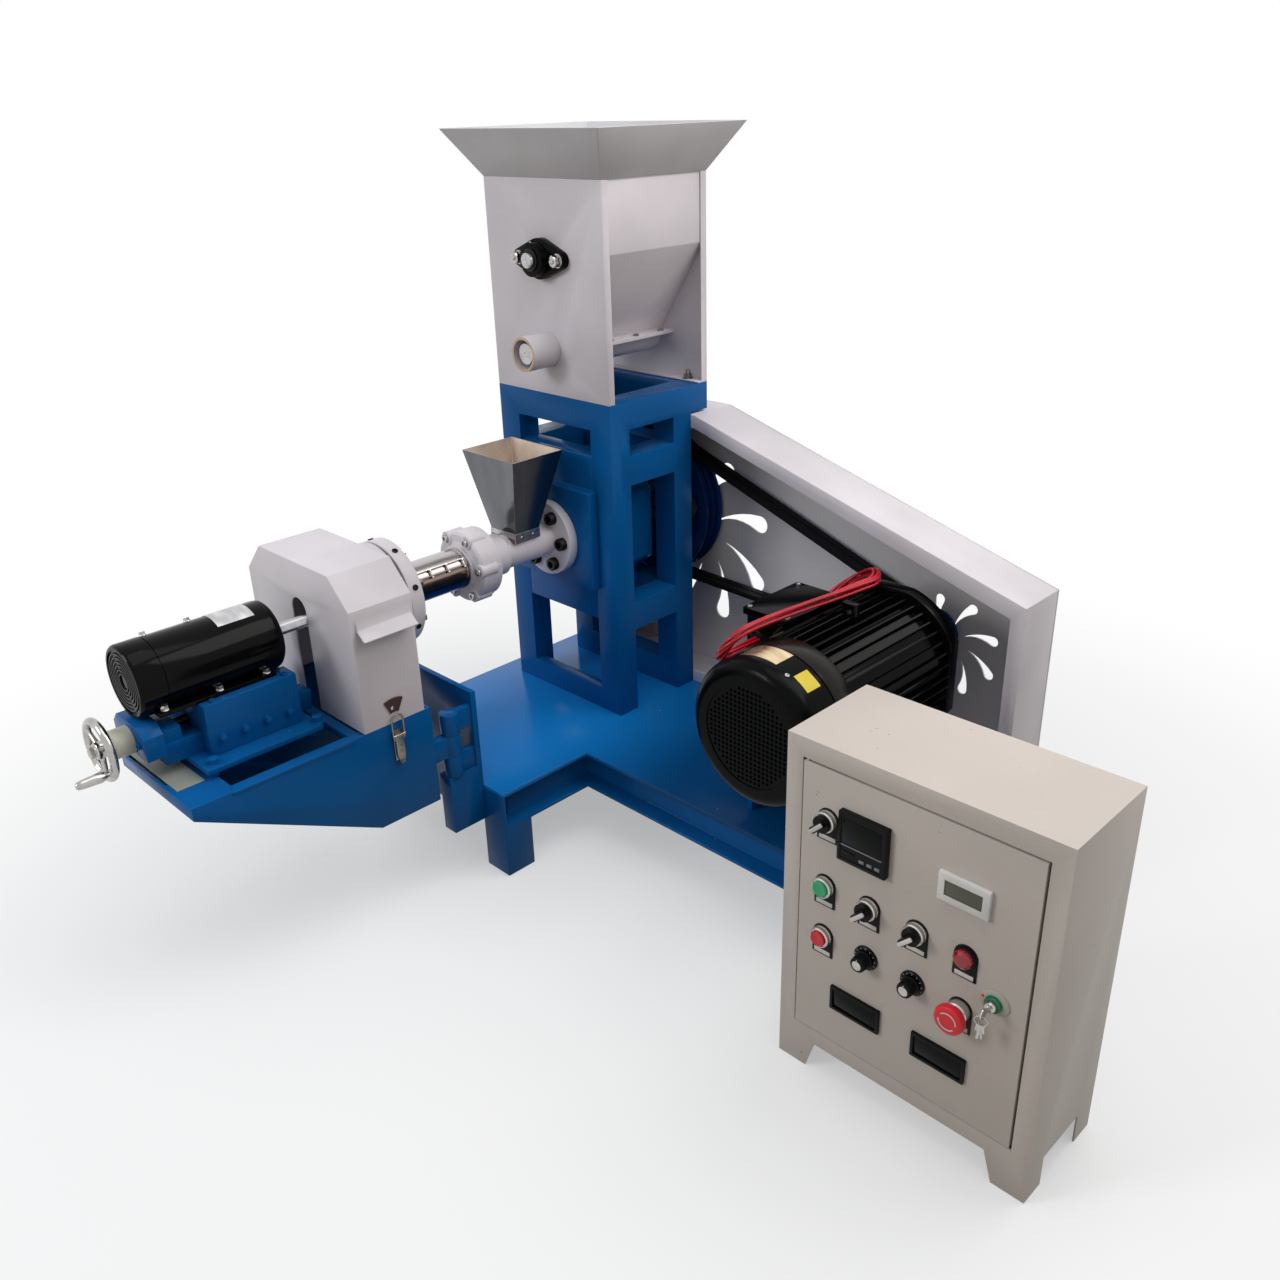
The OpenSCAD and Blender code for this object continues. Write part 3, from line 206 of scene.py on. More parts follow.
def turned(profile, place=(0, 0, 0), axis=toTop, steps=48):  # profile is (along, radius) pairs
    clearAll()
    along, radius = profile[0]
    bpy.ops.mesh.primitive_circle_add(vertices=steps, radius=radius, fill_type="NGON", location=(0, 0, along))
    piece = bpy.context.object
    settle(piece)
    editAll()
    for nextAlong, nextRadius in profile[1:]:
        extrude(0, 0, nextAlong - along)
        share = nextRadius / radius
        scale(share, share, 1, center_override=(0, 0, nextAlong))
        along, radius = nextAlong, nextRadius
    leaveEdit()
    outward()
    return towards(piece, place, axis)


def block(low, high, width=0.001, rings=2):
    clearAll()
    low, high = Vector(low), Vector(high)
    bpy.ops.mesh.primitive_cube_add(size=1, location=(low + high) / 2)
    piece = bpy.context.object
    editAll()
    scale(*(high - low))
    if width:
        bpy.ops.mesh.bevel(offset=width, segments=rings, affect="EDGES")
    leaveEdit()
    settle(piece)
    return piece


def joined(pieces):
    take(*pieces)
    if len(pieces) > 1:
        bpy.ops.object.join()
    return bpy.context.object


def copies(piece, spots):  # spots are (place, axis, spin); the pattern itself goes away
    made = []
    for spot in spots:
        clearAll()
        twin = bpy.data.objects.new(piece.name, piece.data.copy())
        bpy.context.scene.collection.objects.link(twin)
        made.append(towards(twin, *spot))
    bpy.data.objects.remove(piece)
    return joined(made)


def fixed(head, spots, *rest):  # bolts and the like
    finished(copies(head, spots), *rest)


def spoke(angle):  # straight out from a Y axis
    a = math.radians(angle)
    return Vector((math.cos(a), 0, math.sin(a)))


def ringSpots(centre, axis, radius, count, first=0):  # round a Y axis
    return [(Vector(centre) + radius * spoke(first + 360 * i / count), axis, i * 17) for i in range(count)]


def hexHead(across, tall, washer=0.0, thick=1.4):  # in millimetres; stands on its own Z, flat side down
    clearAll()
    across, tall, washer, thick = (k / 1000 for k in (across, tall, washer, thick))
    lift = thick if washer else 0
    bpy.ops.mesh.primitive_cylinder_add(vertices=6, radius=across / 1.732, depth=tall,
                                        location=(0, 0, lift + tall / 2))
    head = bpy.context.object
    settle(head)
    editFaces()
    pickSide(0, 0, 1)
    bpy.ops.mesh.inset(thickness=across * 0.09, depth=across * 0.05)
    leaveEdit()
    if not washer:
        return head
    return joined([turned([(0, washer), (thick * 0.7, washer), (thick, washer * 0.95)], steps=20), head])


def socketHead(radius, tall, steps=14):  # a cap screw with its round recess, in millimetres
    return turned(outline((0, radius), (tall * 0.86, radius), (tall, radius * 0.92), (tall, radius * 0.56),
                          (tall * 0.45, radius * 0.52)), steps=steps)


def angleOf(middle):  # round the Z axis, 0 to 360
    return math.degrees(math.atan2(middle.y, middle.x)) % 360


def band(inner, outer, front, back, steps=64, arcs=None):  # flat ring; arcs are kept (from, to) degrees
    clearAll()
    bpy.ops.mesh.primitive_circle_add(vertices=steps, radius=outer, fill_type="NGON", location=(0, 0, front))
    piece = bpy.context.object
    settle(piece)
    editAll()
    bpy.ops.mesh.inset(thickness=outer - inner)
    bpy.ops.mesh.delete(type="FACE")
    if arcs:
        pickFaces(lambda middle, normal: not any(start <= angleOf(middle) <= end for start, end in arcs))
        bpy.ops.mesh.delete(type="FACE")
    selectAll()
    extrude(0, 0, back - front)
    leaveEdit()
    outward()
    return piece


def wrapped(place, radius, start, end, length, thick=0.0004, steps=120):  # a patch bent round a Y axis, from its back
    clearAll()
    bpy.ops.mesh.primitive_cylinder_add(vertices=steps, radius=radius, depth=length, end_fill_type="NOTHING",
                                        location=(0, 0, length / 2))
    piece = bpy.context.object
    settle(piece)
    editFaces()
    pickFaces(lambda middle, normal: not start <= angleOf(middle) <= end)
    bpy.ops.mesh.delete(type="FACE")
    selectAll()
    thicken(thick)
    leaveEdit()
    outward()
    return towards(piece, place, toFront)


def bar(wide, thick):  # a small strip upright on the X axis, still in edit mode
    clearAll()
    bpy.ops.mesh.primitive_plane_add(size=1)
    piece = bpy.context.object
    editAll()
    scale(wide, thick, 1)
    bpy.ops.transform.rotate(value=math.radians(90), orient_axis="X", center_override=(0, 0, 0))
    return piece


def hoop(radius, wire, steps, wireSteps):
    clearAll()
    bpy.ops.mesh.primitive_torus_add(major_radius=radius, minor_radius=wire, major_segments=steps,
                                     minor_segments=wireSteps)
    editFaces()
    return bpy.context.object


low, high = {}, {}
for node in nodes:
    low[node], high[node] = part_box(node)


def mid(node):
    return (low[node] + high[node]) / 2


# Finishes: sockets that add up like numbers, and a maker for each kind of surface
class Wire:  # one socket, which sums take like a number
    def __init__(self, nodes, socket):
        self.nodes, self.socket = nodes, socket

    def sum(self, operation, *values):
        return self.nodes.node("ShaderNodeMath", {"operation": operation}, dict(enumerate(values)))

    def root(self):
        return self.sum("SQRT", self)

    def held(self):  # kept between 0 and 1
        made = self.sum("ADD", self, 0)
        made.socket.node.use_clamp = True
        return made


def overload(name, operation):  # the operator and its reflected form
    setattr(Wire, f"__{name}__", lambda self, other: self.sum(operation, self, other))
    setattr(Wire, f"__r{name}__", lambda self, other: self.sum(operation, other, self))


for name, operation in (("add", "ADD"), ("sub", "SUBTRACT"), ("mul", "MULTIPLY"), ("truediv", "DIVIDE")):
    overload(name, operation)


class NodeTree:  # shader nodes, made by naming them
    def __init__(self, tree):
        self.tree = tree

    def node(self, kind, settings=None, inputs=None, out=0):
        made = self.tree.nodes.new(kind)
        for key, value in (settings or {}).items():
            if key == "stops":
                ramp = made.color_ramp
                while len(ramp.elements) < len(value):
                    ramp.elements.new(0.5)
                for element, (spot, colour) in zip(ramp.elements, value):
                    element.position, element.color = spot, (*colour, 1)
            else:
                setattr(made, key, value)
        for key, value in (inputs or {}).items():
            self.link(value, made.inputs[key])
        return made if out is None else Wire(self, made.outputs[out])

    def link(self, value, socket):
        if isinstance(value, Wire):
            self.tree.links.new(value.socket, socket)
        elif isinstance(value, tuple) and len(value) == 3 and len(socket.default_value) == 4:
            socket.default_value = (*value, 1)
        else:
            socket.default_value = value

    def seen(self):  # 1 to the camera, in a mirror and through glass
        rays = self.node("ShaderNodeLightPath", out=None)
        camera, glossy, through = (Wire(self, rays.outputs[f"Is {ray} Ray"])
                                   for ray in ("Camera", "Glossy", "Transmission"))
        return (camera + glossy + through).held()

    def blend(self, share, first, second, end):  # two shaders, into the tree's end node
        both = self.node("ShaderNodeMixShader", {}, {0: share, 1: first, 2: second})
        self.link(both, self.tree.nodes[end].inputs["Surface"])


class Paint(NodeTree):  # a material
    def __init__(self, name, **values):
        self.material = bpy.data.materials.new(name)
        self.material.use_nodes = True
        super().__init__(self.material.node_tree)
        self.shader = self.tree.nodes["Principled BSDF"]
        for key, value in values.items():
            self.put(key.replace("Specular", "Specular IOR Level"), value)
        self.place = self.node("ShaderNodeTexCoord", out="Object")
        self.x, self.y, self.z = self.parts(self.place)
        self.faceX, self.faceY, self.up = self.parts(self.node("ShaderNodeNewGeometry", out="Normal"))

    def parts(self, vector):
        split = self.node("ShaderNodeSeparateXYZ", {}, {"Vector": vector}, out=None)
        return [Wire(self, split.outputs[k]) for k in "XYZ"]

    def put(self, socket, value):
        self.link(value, self.shader.inputs[socket])

    def noise(self, scale, detail=3, stretch=(1, 1, 1), roughness=0.5):
        moved = self.node("ShaderNodeMapping", {}, {"Vector": self.place, "Scale": stretch})
        return self.node("ShaderNodeTexNoise", {}, {"Vector": moved, "Scale": scale, "Detail": detail,
                                                    "Roughness": roughness})

    def cells(self, scale):
        return self.node("ShaderNodeTexVoronoi", {}, {"Vector": self.place, "Scale": scale}, out="Distance")

    def fade(self, value, start, end):  # 0 below start, 1 above end
        return self.node("ShaderNodeMapRange", {"interpolation_type": "SMOOTHSTEP"},
                         {"Value": value, "From Min": start, "From Max": end})

    def mix(self, share, first, second):
        return self.node("ShaderNodeMix", {"data_type": "RGBA"}, {0: share, 6: first, 7: second}, out=2)

    def bump(self, height, strength, depth):
        sizes = {"Height": height, "Strength": strength, "Distance": depth}
        self.put("Normal", self.node("ShaderNodeBump", {}, sizes, out="Normal"))

    def finish(self, colour, rough, *bump):
        self.put("Base Color", colour)
        self.put("Roughness", rough)
        if bump:
            self.bump(*bump)
        return self.material


def tint(r, g, b):  # screen values of a colour, as the linear values that a shader takes
    return tuple((c / 255 / 12.92) if c <= 10 else ((c / 255 + 0.055) / 1.055) ** 2.4 for c in (r, g, b))


def toned(colour, share, more=0):
    return tuple(min(1, c * share + more) for c in colour)


def enamel(name, colour, roughness, dust, peel, specular=0.3, chips=0.0, flecks=0.0, worn=None):
    paint = Paint(name, Specular=specular)
    broad, fine = paint.noise(3.1, 4), paint.noise(46, 3)
    shade = paint.mix(paint.fade(broad, 0.3, 0.7), toned(colour, 0.86), toned(colour, 1.1))
    if worn:  # painted light: brighter towards the open end, where the deck's wing is lit
        shade = paint.mix(paint.fade(paint.x + broad * 0.12, -0.02, -0.36), shade, worn)
    dusty = (paint.fade(paint.up, 0.55, 0.95) * paint.fade(paint.noise(7.5, 5), 0.35, 0.75)) * dust
    shade = paint.mix(dusty.held(), shade, toned(colour, 1.25, 0.06))
    # painted highlight: pale flecks on upward faces stand in for glints off the gloss
    if flecks:
        spots = paint.fade(paint.cells(38), 0.05 * flecks, 0.03 * flecks) * paint.fade(paint.noise(9, 2), 0.5, 0.62)
        shade = paint.mix((spots * paint.fade(paint.up, 0.7, 0.9)).held(), shade, (0.72, 0.76, 0.8))
    if chips:
        bare = paint.fade(paint.noise(61, 5, roughness=0.7), 0.69, 0.72) * chips
        shade = paint.mix(bare.held(), shade, toned(colour, 0.25))
    return paint.finish(shade, (fine - 0.5) * 0.1 + dusty * 0.3 + roughness,
                        paint.noise(320, 2) * 0.5 + paint.noise(38, 2) * 0.8, peel, 0.0012)


def steel(name, colour, roughness, stain=0.35, bumpy=0.08, grain=90):
    paint = Paint(name, Metallic=1.0)
    brushed, blotch = paint.noise(grain, 3), paint.noise(5.5, 4)
    shade = paint.mix(paint.fade(brushed, 0.3, 0.7), toned(colour, 0.82), colour)
    stained = (paint.fade(blotch, 0.45, 0.8) * stain).held()
    return paint.finish(paint.mix(stained, shade, toned(colour, 0.55)),
                        (brushed - 0.5) * 0.16 + paint.fade(blotch, 0.4, 0.8) * 0.12 + roughness, brushed, bumpy,
                        0.0006)


def moulded(name, colour, roughness, texture=0.15, specular=0.4):
    paint = Paint(name, Specular=specular)
    grain, broad = paint.noise(420, 2), paint.noise(11, 3)
    return paint.finish(paint.mix(paint.fade(broad, 0.3, 0.7), toned(colour, 0.85), toned(colour, 1.12)),
                        (grain - 0.5) * 0.12 + (broad - 0.5) * 0.1 + roughness, grain, texture, 0.0004)


def foil(name, colour, roughness):  # thin bare metal film; the gold one on the cowl is a painted highlight
    paint = Paint(name, Metallic=1.0)
    crease = paint.noise(26, 3, (1, 3, 1))
    return paint.finish(paint.mix(paint.fade(crease, 0.35, 0.7), toned(colour, 0.7), colour),
                        (crease - 0.5) * 0.2 + roughness)


def chuteSheet(name, outside, inside, centre):  # mirror outside, painted darker as in shade; pale beige inside as painted light on the lit inner faces
    paint = Paint(name, Metallic=1.0)
    facing = (paint.x - centre[0]) * paint.faceX + (paint.y - centre[1]) * paint.faceY
    within = paint.fade(facing, 0.004, -0.004)
    streak = paint.noise(9, 4, (1, 1, 0.3))
    outer = paint.mix(paint.fade(streak, 0.35, 0.7), toned(outside, 0.55), outside)
    inner = paint.mix(paint.fade(paint.noise(23, 4), 0.35, 0.7), toned(inside, 0.8), inside)
    return paint.finish(paint.mix(within, outer, inner), within * 0.42 + streak * 0.08 + 0.1)


def heaterSheet(name, middle, radius):  # polished band, coloured from top to bottom: pale above and blue below as a painted reflection, with heat tint between
    heatAndReflection = {0.0: (22, 44, 74), 0.28: (30, 62, 98), 0.36: (58, 30, 24), 0.46: (128, 100, 88), 0.62: (180, 158, 146),
            0.7: (96, 86, 80), 0.78: (158, 152, 148), 1.0: (196, 192, 190)}
    paint = Paint(name, Metallic=1.0)
    level = (paint.z - (middle - radius)) / (2 * radius)
    wave = paint.noise(30, 3, (1, 0.15, 1)) * 0.12 - 0.06
    stops = [(spot, tint(*colour)) for spot, colour in heatAndReflection.items()]
    return paint.finish(paint.node("ShaderNodeValToRGB", {"stops": stops}, {"Fac": level + wave}, out="Color"),
                        paint.noise(60, 2, (1, 0.2, 1)) * 0.14 + 0.16)


def powderCoat(name, colour, roughness):  # a coat of fine grains, with a few chips on the edges, and painted shade darker towards the floor
    paint = Paint(name, Specular=0.35)
    grain, broad = paint.noise(900, 2), paint.noise(4.2, 4)
    shade = paint.mix(paint.fade(broad, 0.3, 0.75), toned(colour, 0.92), colour)
    # painted shade: the coat darkens towards the floor
    grains, paintedLowShade = paint.fade(grain, 0.5, 0.62) * 0.1, paint.fade(paint.z, 0.34, 0.0) * 0.16
    chips = paint.fade(paint.noise(70, 4, roughness=0.75), 0.705, 0.725)
    for mask, share in ((grains, 0.6), (paintedLowShade, 0.5), (chips, 0.18)):
        shade = paint.mix(mask.held(), shade, toned(colour, share))
    return paint.finish(shade, (grain - 0.5) * 0.35 + roughness, grain * 0.7 + paint.noise(240, 2) * 0.5, 0.55,
                        0.0006)


paints = {}


def mixPaints(maker, **rows):  # a row holds a colour's screen values, then what its maker takes
    for name, (screen, *rest) in rows.items():
        paints[name] = maker(camel(name) + "Finish", tint(*screen), *rest)


mixPaints(
    enamel, blue_paint=((9, 86, 148), 0.2, 0.05, 0.16, 0.08, 0.2, 1.0),
    # deckBlue: painted shade darkens the deck's middle, and painted light brightens its open wing end
    deckBlue=((7, 66, 116), 0.18, 0.04, 0.2, 0.1, 0.2, 1.0, tint(18, 122, 200)),
    dark_blue_paint=((8, 50, 106), 0.24, 0.05, 0.16, 0.06, 0.2),
    pale_paint=((215, 209, 214), 0.34, 0.04, 0.08, 0.22), grey_sheet=((208, 206, 209), 0.42, 0.06, 0.1, 0.25),
    black_casting=((5, 6, 7), 0.2, 0.0, 0.25, 0.06, 0.1), black_paint=((5, 5, 6), 0.12, 0.0, 0.05, 0.09),
    brownBlack=((20, 15, 11), 0.18, 0.0, 0.15, 0.12), keeperBrown=((70, 48, 50), 0.3, 0.0, 0.1, 0.25),
    blackOxide=((16, 16, 17), 0.36, 0.0, 0.1, 0.2), oliveSheet=((142, 146, 136), 0.4, 0.04, 0.06, 0.2),
    guardGrey=((212, 208, 208), 0.4, 0.0, 0.1, 0.15))
mixPaints(
    steel, bright_steel=((190, 188, 190), 0.28), plated_steel=((136, 132, 126), 0.3),
    plated_collar=((196, 192, 188), 0.28, 0.2, 0.08, 60), chrome=((190, 187, 184), 0.09, 0.3, 0.01))
mixPaints(
    moulded, belt_rubber=((13, 13, 15), 0.6, 0.4, 0.12), red_lead=((176, 12, 34), 0.26, 0.03, 0.4),
    cream_plastic=((212, 208, 190), 0.4), black_plastic=((9, 9, 10), 0.3, 0.2, 0.12),
    green_plastic=((36, 168, 104), 0.3, 0.02), red_plastic=((216, 30, 44), 0.3, 0.02),
    yellowLabel=((218, 196, 40), 0.42, 0.05), bareRim=((206, 178, 152), 0.5, 0.1),
    bareStrip=((208, 204, 198), 0.42, 0.03), paleGrip=((214, 210, 206), 0.3, 0.03, 0.5),
    lampRed=((150, 10, 30), 0.16, 0.01, 0.6), lockCream=((178, 176, 160), 0.4, 0.05),
    lockGreen=((18, 112, 74), 0.3, 0.03), instrumentGrey=((18, 17, 17), 0.38, 0.15, 0.1),
    darkGlass=((4, 6, 7), 0.1, 0.0, 0.1), greyLine=((122, 126, 130), 0.3, 0.02),
    meterWhite=((228, 226, 222), 0.36, 0.03), oliveWindow=((84, 84, 68), 0.2, 0.01))
# the gold finish is a painted highlight on the motor's cowl
mixPaints(foil, goldFoil=((252, 226, 184), 0.28), silverLabel=((222, 222, 224), 0.34))
mixPaints(powderCoat, beige_paint=((202, 192, 184), 0.46))
mixPaints(chuteSheet, stainless=((126, 128, 132), tint(206, 190, 176), (-0.4955, 0.2145)))
paints["polished_steel"] = heaterSheet("heaterBand", 0.508, 0.036)
print("finishes made:", len(paints))


# Painted and cast pieces from the CAD, with their edges rounded
edges = {  # radius in metres and rings, then the nodes
    (0.0004, 1): "inlet_chute catch_sheet", (0.0005, 1): "guard_back_panel cutter_blades", (0.0005, 2): "feed_tube",
    (0.0006, 1): "hopper_funnel hopper_flare feed_trough die_plate motor_pulley", (0.0007, 2): "drive_motor",
    (0.0008, 1): "screw_pulley drive_belts", (0.0008, 2): "hopper_front_plate hopper_back_plate",
    (0.001, 2): "agitator die_ring", (0.0012, 2): "barrel_neck belt_guard hood cabinet_box",
    (0.0012, 3): "handwheel_collar cabinet_door", (0.0018, 3): "barrel_clamp", (0.002, 2): "base_frame",
    (0.0015, 2): "base_deck flange_bearings motor_stand hinge_bracket cutter_table slide_bed carriage",
    (0.0025, 2): "tower_frame", (0.0025, 3): "terminal_box", (0.003, 3): "tower_front_plate",
    (0.004, 2): "bearing_housing",
}
otherPaint = {"guard_back_panel": "guardGrey", "base_deck": "deckBlue", "catch_sheet": "oliveSheet"}


def soften(node, width, rings):
    piece = bpy.data.objects.new(camel(node), nodes[node].data.copy())
    bpy.context.scene.collection.objects.link(piece)
    editAll(piece)
    bpy.ops.mesh.remove_doubles(threshold=0.00001)
    bpy.ops.mesh.dissolve_limited(angle_limit=math.radians(0.5))
    if node == "hopper_funnel":  # its faces that fold back on themselves are cut into plain ones
        bpy.ops.mesh.vert_connect_concave()
    leaveEdit()
    rounded(piece, width, rings)
    finished(piece, node, paint=otherPaint.get(node))


for (width, rings), group in edges.items():
    for node in group.split():
        soften(node, width, rings)
for node in nodes:
    nodes[node].data.materials.clear()
    nodes[node].data.materials.append(paints[slots[node]])
print("edges rounded")


# Spare motor leads: one bundle of thin wires out of the terminal box, over the motor and back
leads = {"wires": 5, "wire": 0.0026, "spread": 0.0088, "bundle": 0.02, "twist": 200, "length": 0.67}


def halfLoop(a, b, y, reach, bulge):  # between two places (x, z), out to y + reach
    line = []
    for step in range(7):
        turn = math.pi * step / 6
        x, z = ((p + q) / 2 + math.cos(turn) * (p - q) / 2 + share * bulge * math.sin(turn)
                for p, q, share in zip(a, b, (-0.6, 0.8)))
        line.append((x, y + reach * math.sin(turn), z))
    return line


# The CAD's route, in millimetres of its machine, brought to metres of the frame
nearY, runY = -129.5, 271
machineRoute = [(377, -55, 463), (377, -71, 463), (377.5, -93, 463.5), (379, -112, 464.5)]
machineRoute += halfLoop((380.5, 466), (424.5, 522), nearY, -36, 0)
machineRoute += [(424.5 + 34 * t * t, nearY + runY * t, 522 + 7 * t ** 3) for t in (i / 8 for i in range(1, 8))]
machineRoute += halfLoop((458.5, 529), (369, 468), nearY + runY, 48, 13)
machineRoute += [(371, 131, 465.3), (375.2, 121, 463.6), (377, 111, 463), (377, 99, 463)]
leadRoute = [((x - 346.5) / 1000, (y + 314.5) / 1000, z / 1000) for x, y, z in machineRoute]


def smoothLine(points, between=4):  # a curve through every point
    points = [Vector(p) for p in points]
    line = []
    for i in range(len(points) - 1):
        before, here, there, after = (points[max(0, min(len(points) - 1, i + k))] for k in (-1, 0, 1, 2))
        for k in range(between):
            t = k / between
            line.append(0.5 * (2 * here + (there - before) * t
                               + (2 * before - 5 * here + 4 * there - after) * t * t
                               + (3 * here - before - 3 * there + after) * t ** 3))
    return line + [points[-1]]


def strand(points, radius):  # a round wire along the points, made a mesh
    clearAll()
    path = bpy.data.curves.new("lead", "CURVE")
    path.dimensions, path.bevel_depth, path.bevel_resolution, path.use_fill_caps = "3D", radius, 3, True
    line = path.splines.new("POLY")
    line.points.add(len(points) - 1)
    for spot, place in zip(line.points, points):
        spot.co = (*place, 1)
    wire = bpy.data.objects.new("lead", path)
    bpy.context.scene.collection.objects.link(wire)
    take(wire)
    bpy.ops.object.convert(target="MESH")
    return bpy.context.object


def makeLeads():
    line = smoothLine(leadRoute)
    last = len(line) - 1
    wires = []
    for wire in range(leads["wires"]):
        places = []
        for i, place in enumerate(line):
            ahead = (line[min(i + 1, last)] - line[max(i - 1, 0)]).normalized()
            side = ahead.cross(Vector((0, 0.05, 1))).normalized()
            over = ahead.cross(side)
            share = i / last
            loose = math.sin(math.pi * share)  # tight at the glands, looser on the way
            angle = math.radians(360 * wire / leads["wires"] + leads["twist"] * share)
            reach = leads["spread"] * (0.62 + 0.38 * loose * math.cos(3 * angle + wire))
            places.append(place + reach * (math.cos(angle) * side + math.sin(angle) * over))
        wires.append(strand(places, leads["wire"]))
    bundle = joined(wires)
    finished(bundle, "motor_leads", angle=60)
    print("leads made")


makeLeads()


# Drive motor: cowl with a pitted face, end bell, screws, glands and lid screws
cowl = {"shoulder": 0.024, "lip": 0.083, "pocket": 0.0945, "deep": 0.0046, "long": 0.071, "pitch": 0.0078, "pits": 24,
        "reach": 0.077, "hole": 0.0049, "screws": 4, "screwFirst": 66, "screwRow": 0.0245}
labelsAndHighlight = {  # its back end along the motor, from and to degrees, how long, slot and finish
    # a gold strip on the cowl's top: a painted highlight of warm light
    "cowlFoil": (0.0698, 79, 112, 0.0405, "bright_steel", "goldFoil"),
    "cowlSticker": (0.0625, 49, 62.5, 0.03, "cream_plastic", "yellowLabel"),
}
motorFeet = {"apart": 0.1, "rows": (0.2595, 0.4395), "padHigh": 0.014}
motorX, motorZ = mid("fan_cowl").x, mid("fan_cowl").z
cowlFront = low["fan_cowl"].y
cowlRadius = (high["fan_cowl"].x - low["fan_cowl"].x) / 2


def inMotor(along):  # on its axis, from the cowl's face
    return Vector((motorX, cowlFront + along, motorZ))


def makeCowl():
    profile = [(cowl["deep"], cowl["pocket"]), (0.0014, cowl["pocket"]), (0.0014, cowl["lip"]), (0, cowl["lip"])]
    for step in range(9):
        a = math.radians(90 * step / 8)
        profile.append((cowl["shoulder"] * (1 - math.cos(a)), cowlRadius - cowl["shoulder"] * (1 - math.sin(a))))
    profile += [(cowl["long"] - 0.0006, cowlRadius), (cowl["long"], cowlRadius - 0.0022)]
    finished(turned(profile, inMotor(0), toBack, 96), "fan_cowl", paint="black_casting")


def makeCowlFace():
    clearAll()
    bpy.ops.mesh.primitive_grid_add(x_subdivisions=cowl["pits"], y_subdivisions=cowl["pits"],
                                    size=cowl["pits"] * cowl["pitch"])
    face = bpy.context.object
    editFaces()
    reach = cowl["pocket"] - 0.75 * cowl["pitch"]
    pickFaces(lambda middle, normal: math.hypot(middle.x, middle.y) > reach)
    bpy.ops.mesh.delete(type="FACE")
    selectAll()
    extrude(0, 0, 0.003)
    leaveEdit()
    outward()
    editFaces()
    pickFaces(lambda middle, normal: normal.z < -0.9 and math.hypot(middle.x, middle.y) < cowl["reach"])
    bpy.ops.mesh.inset(thickness=(cowl["pitch"] - cowl["hole"]) / 2, use_individual=True)
    bpy.ops.mesh.inset(thickness=0.0003, depth=-0.0022, use_individual=True)
    leaveEdit()
    finished(towards(face, inMotor(0.0015), toBack), "fan_cowl", "cowlFace", paint="black_casting")


def makeMotorExtras():
    bell = outline((0, 115.2), (1.2, 116.8), (2.6, 116.8), (3.2, 119.3), (43, 119.3), (47, 116.5), (48.5, 108))
    finished(turned(bell, inMotor(cowl["long"] - 0.001), toBack, 96), "drive_motor", "motorEndBell", "black_paint",
             "brownBlack")
    for name, (along, start, end, long, slot, paint) in labelsAndHighlight.items():
        finished(wrapped(inMotor(along), cowlRadius + 0.0002, start, end, long), "drive_motor", name, slot, paint)
    outs = [spoke(cowl["screwFirst"] + 360 * i / cowl["screws"]) for i in range(cowl["screws"])]
    spots = [(inMotor(cowl["screwRow"]) + out * (cowlRadius - 0.0003), out) for out in outs]
    fixed(socketHead(3.6, 2.2), spots, "drive_motor", "cowlScrews", "plated_steel", "bright_steel")


def makeMotorBolts():
    pad = low["drive_motor"].z + motorFeet["padHigh"]
    feet = [((x, y, pad), toTop, 20) for x in (motorX - motorFeet["apart"], motorX + motorFeet["apart"])
            for y in motorFeet["rows"]]
    fixed(hexHead(17, 8.5, 12.5), feet, "drive_motor", "motorFootBolts", "plated_steel")
    near, far = low["terminal_box"], high["terminal_box"]
    lid = [((x, y, far.z - 0.0002), toTop) for x in (near.x + 0.008, far.x - 0.008)
           for y in (near.y + 0.015, far.y - 0.015)]
    fixed(socketHead(4.2, 2.4), lid, "terminal_box", "lidScrews", "plated_steel", "bright_steel")
    x, z = leadRoute[0][0], leadRoute[0][2]
    glands = [((x, near.y + 0.0125, z), toFront), ((x, far.y - 0.0125, z), toBack)]
    fixed(hexHead(31, 11), glands, "terminal_box", "cableGlands", "black_plastic")


makeCowl()
makeCowlFace()
makeMotorExtras()
makeMotorBolts()
print("drive motor detailed")


# Cutter head: its motor, the slide's bolts, the handwheel and the hood's toggle latch
cutterMotor = {"ridges": 6, "ridgeFrom": 0.011, "ridgeStep": 0.0061, "ridgeHigh": 0.0022, "bandLong": 0.04,
               "bandRadius": 0.0568, "bodyRadius": 0.0558}
screwX, screwZ = mid("cutter_motor").x, mid("cutter_motor").z
cutterFront = low["cutter_motor"].y
slideHigh = 0.42  # the lead screw's axis
slide = {"boltIn": 0.015, "boltRows": (-0.4525, -0.2785), "plateHigh": 0.018, "gibScrews": 4, "gibStep": 0.037,
         "gibHigh": 0.026, "capShares": (0.12, 0.9), "endScrews": 0.033, "coverHalf": 0.041, "coverTaper": 0.86}
feet = {"inner": 0.027, "outer": 0.0515, "bolt": 0.0425, "rows": (0.0345, 0.1195, 0.1965), "high": 0.007}


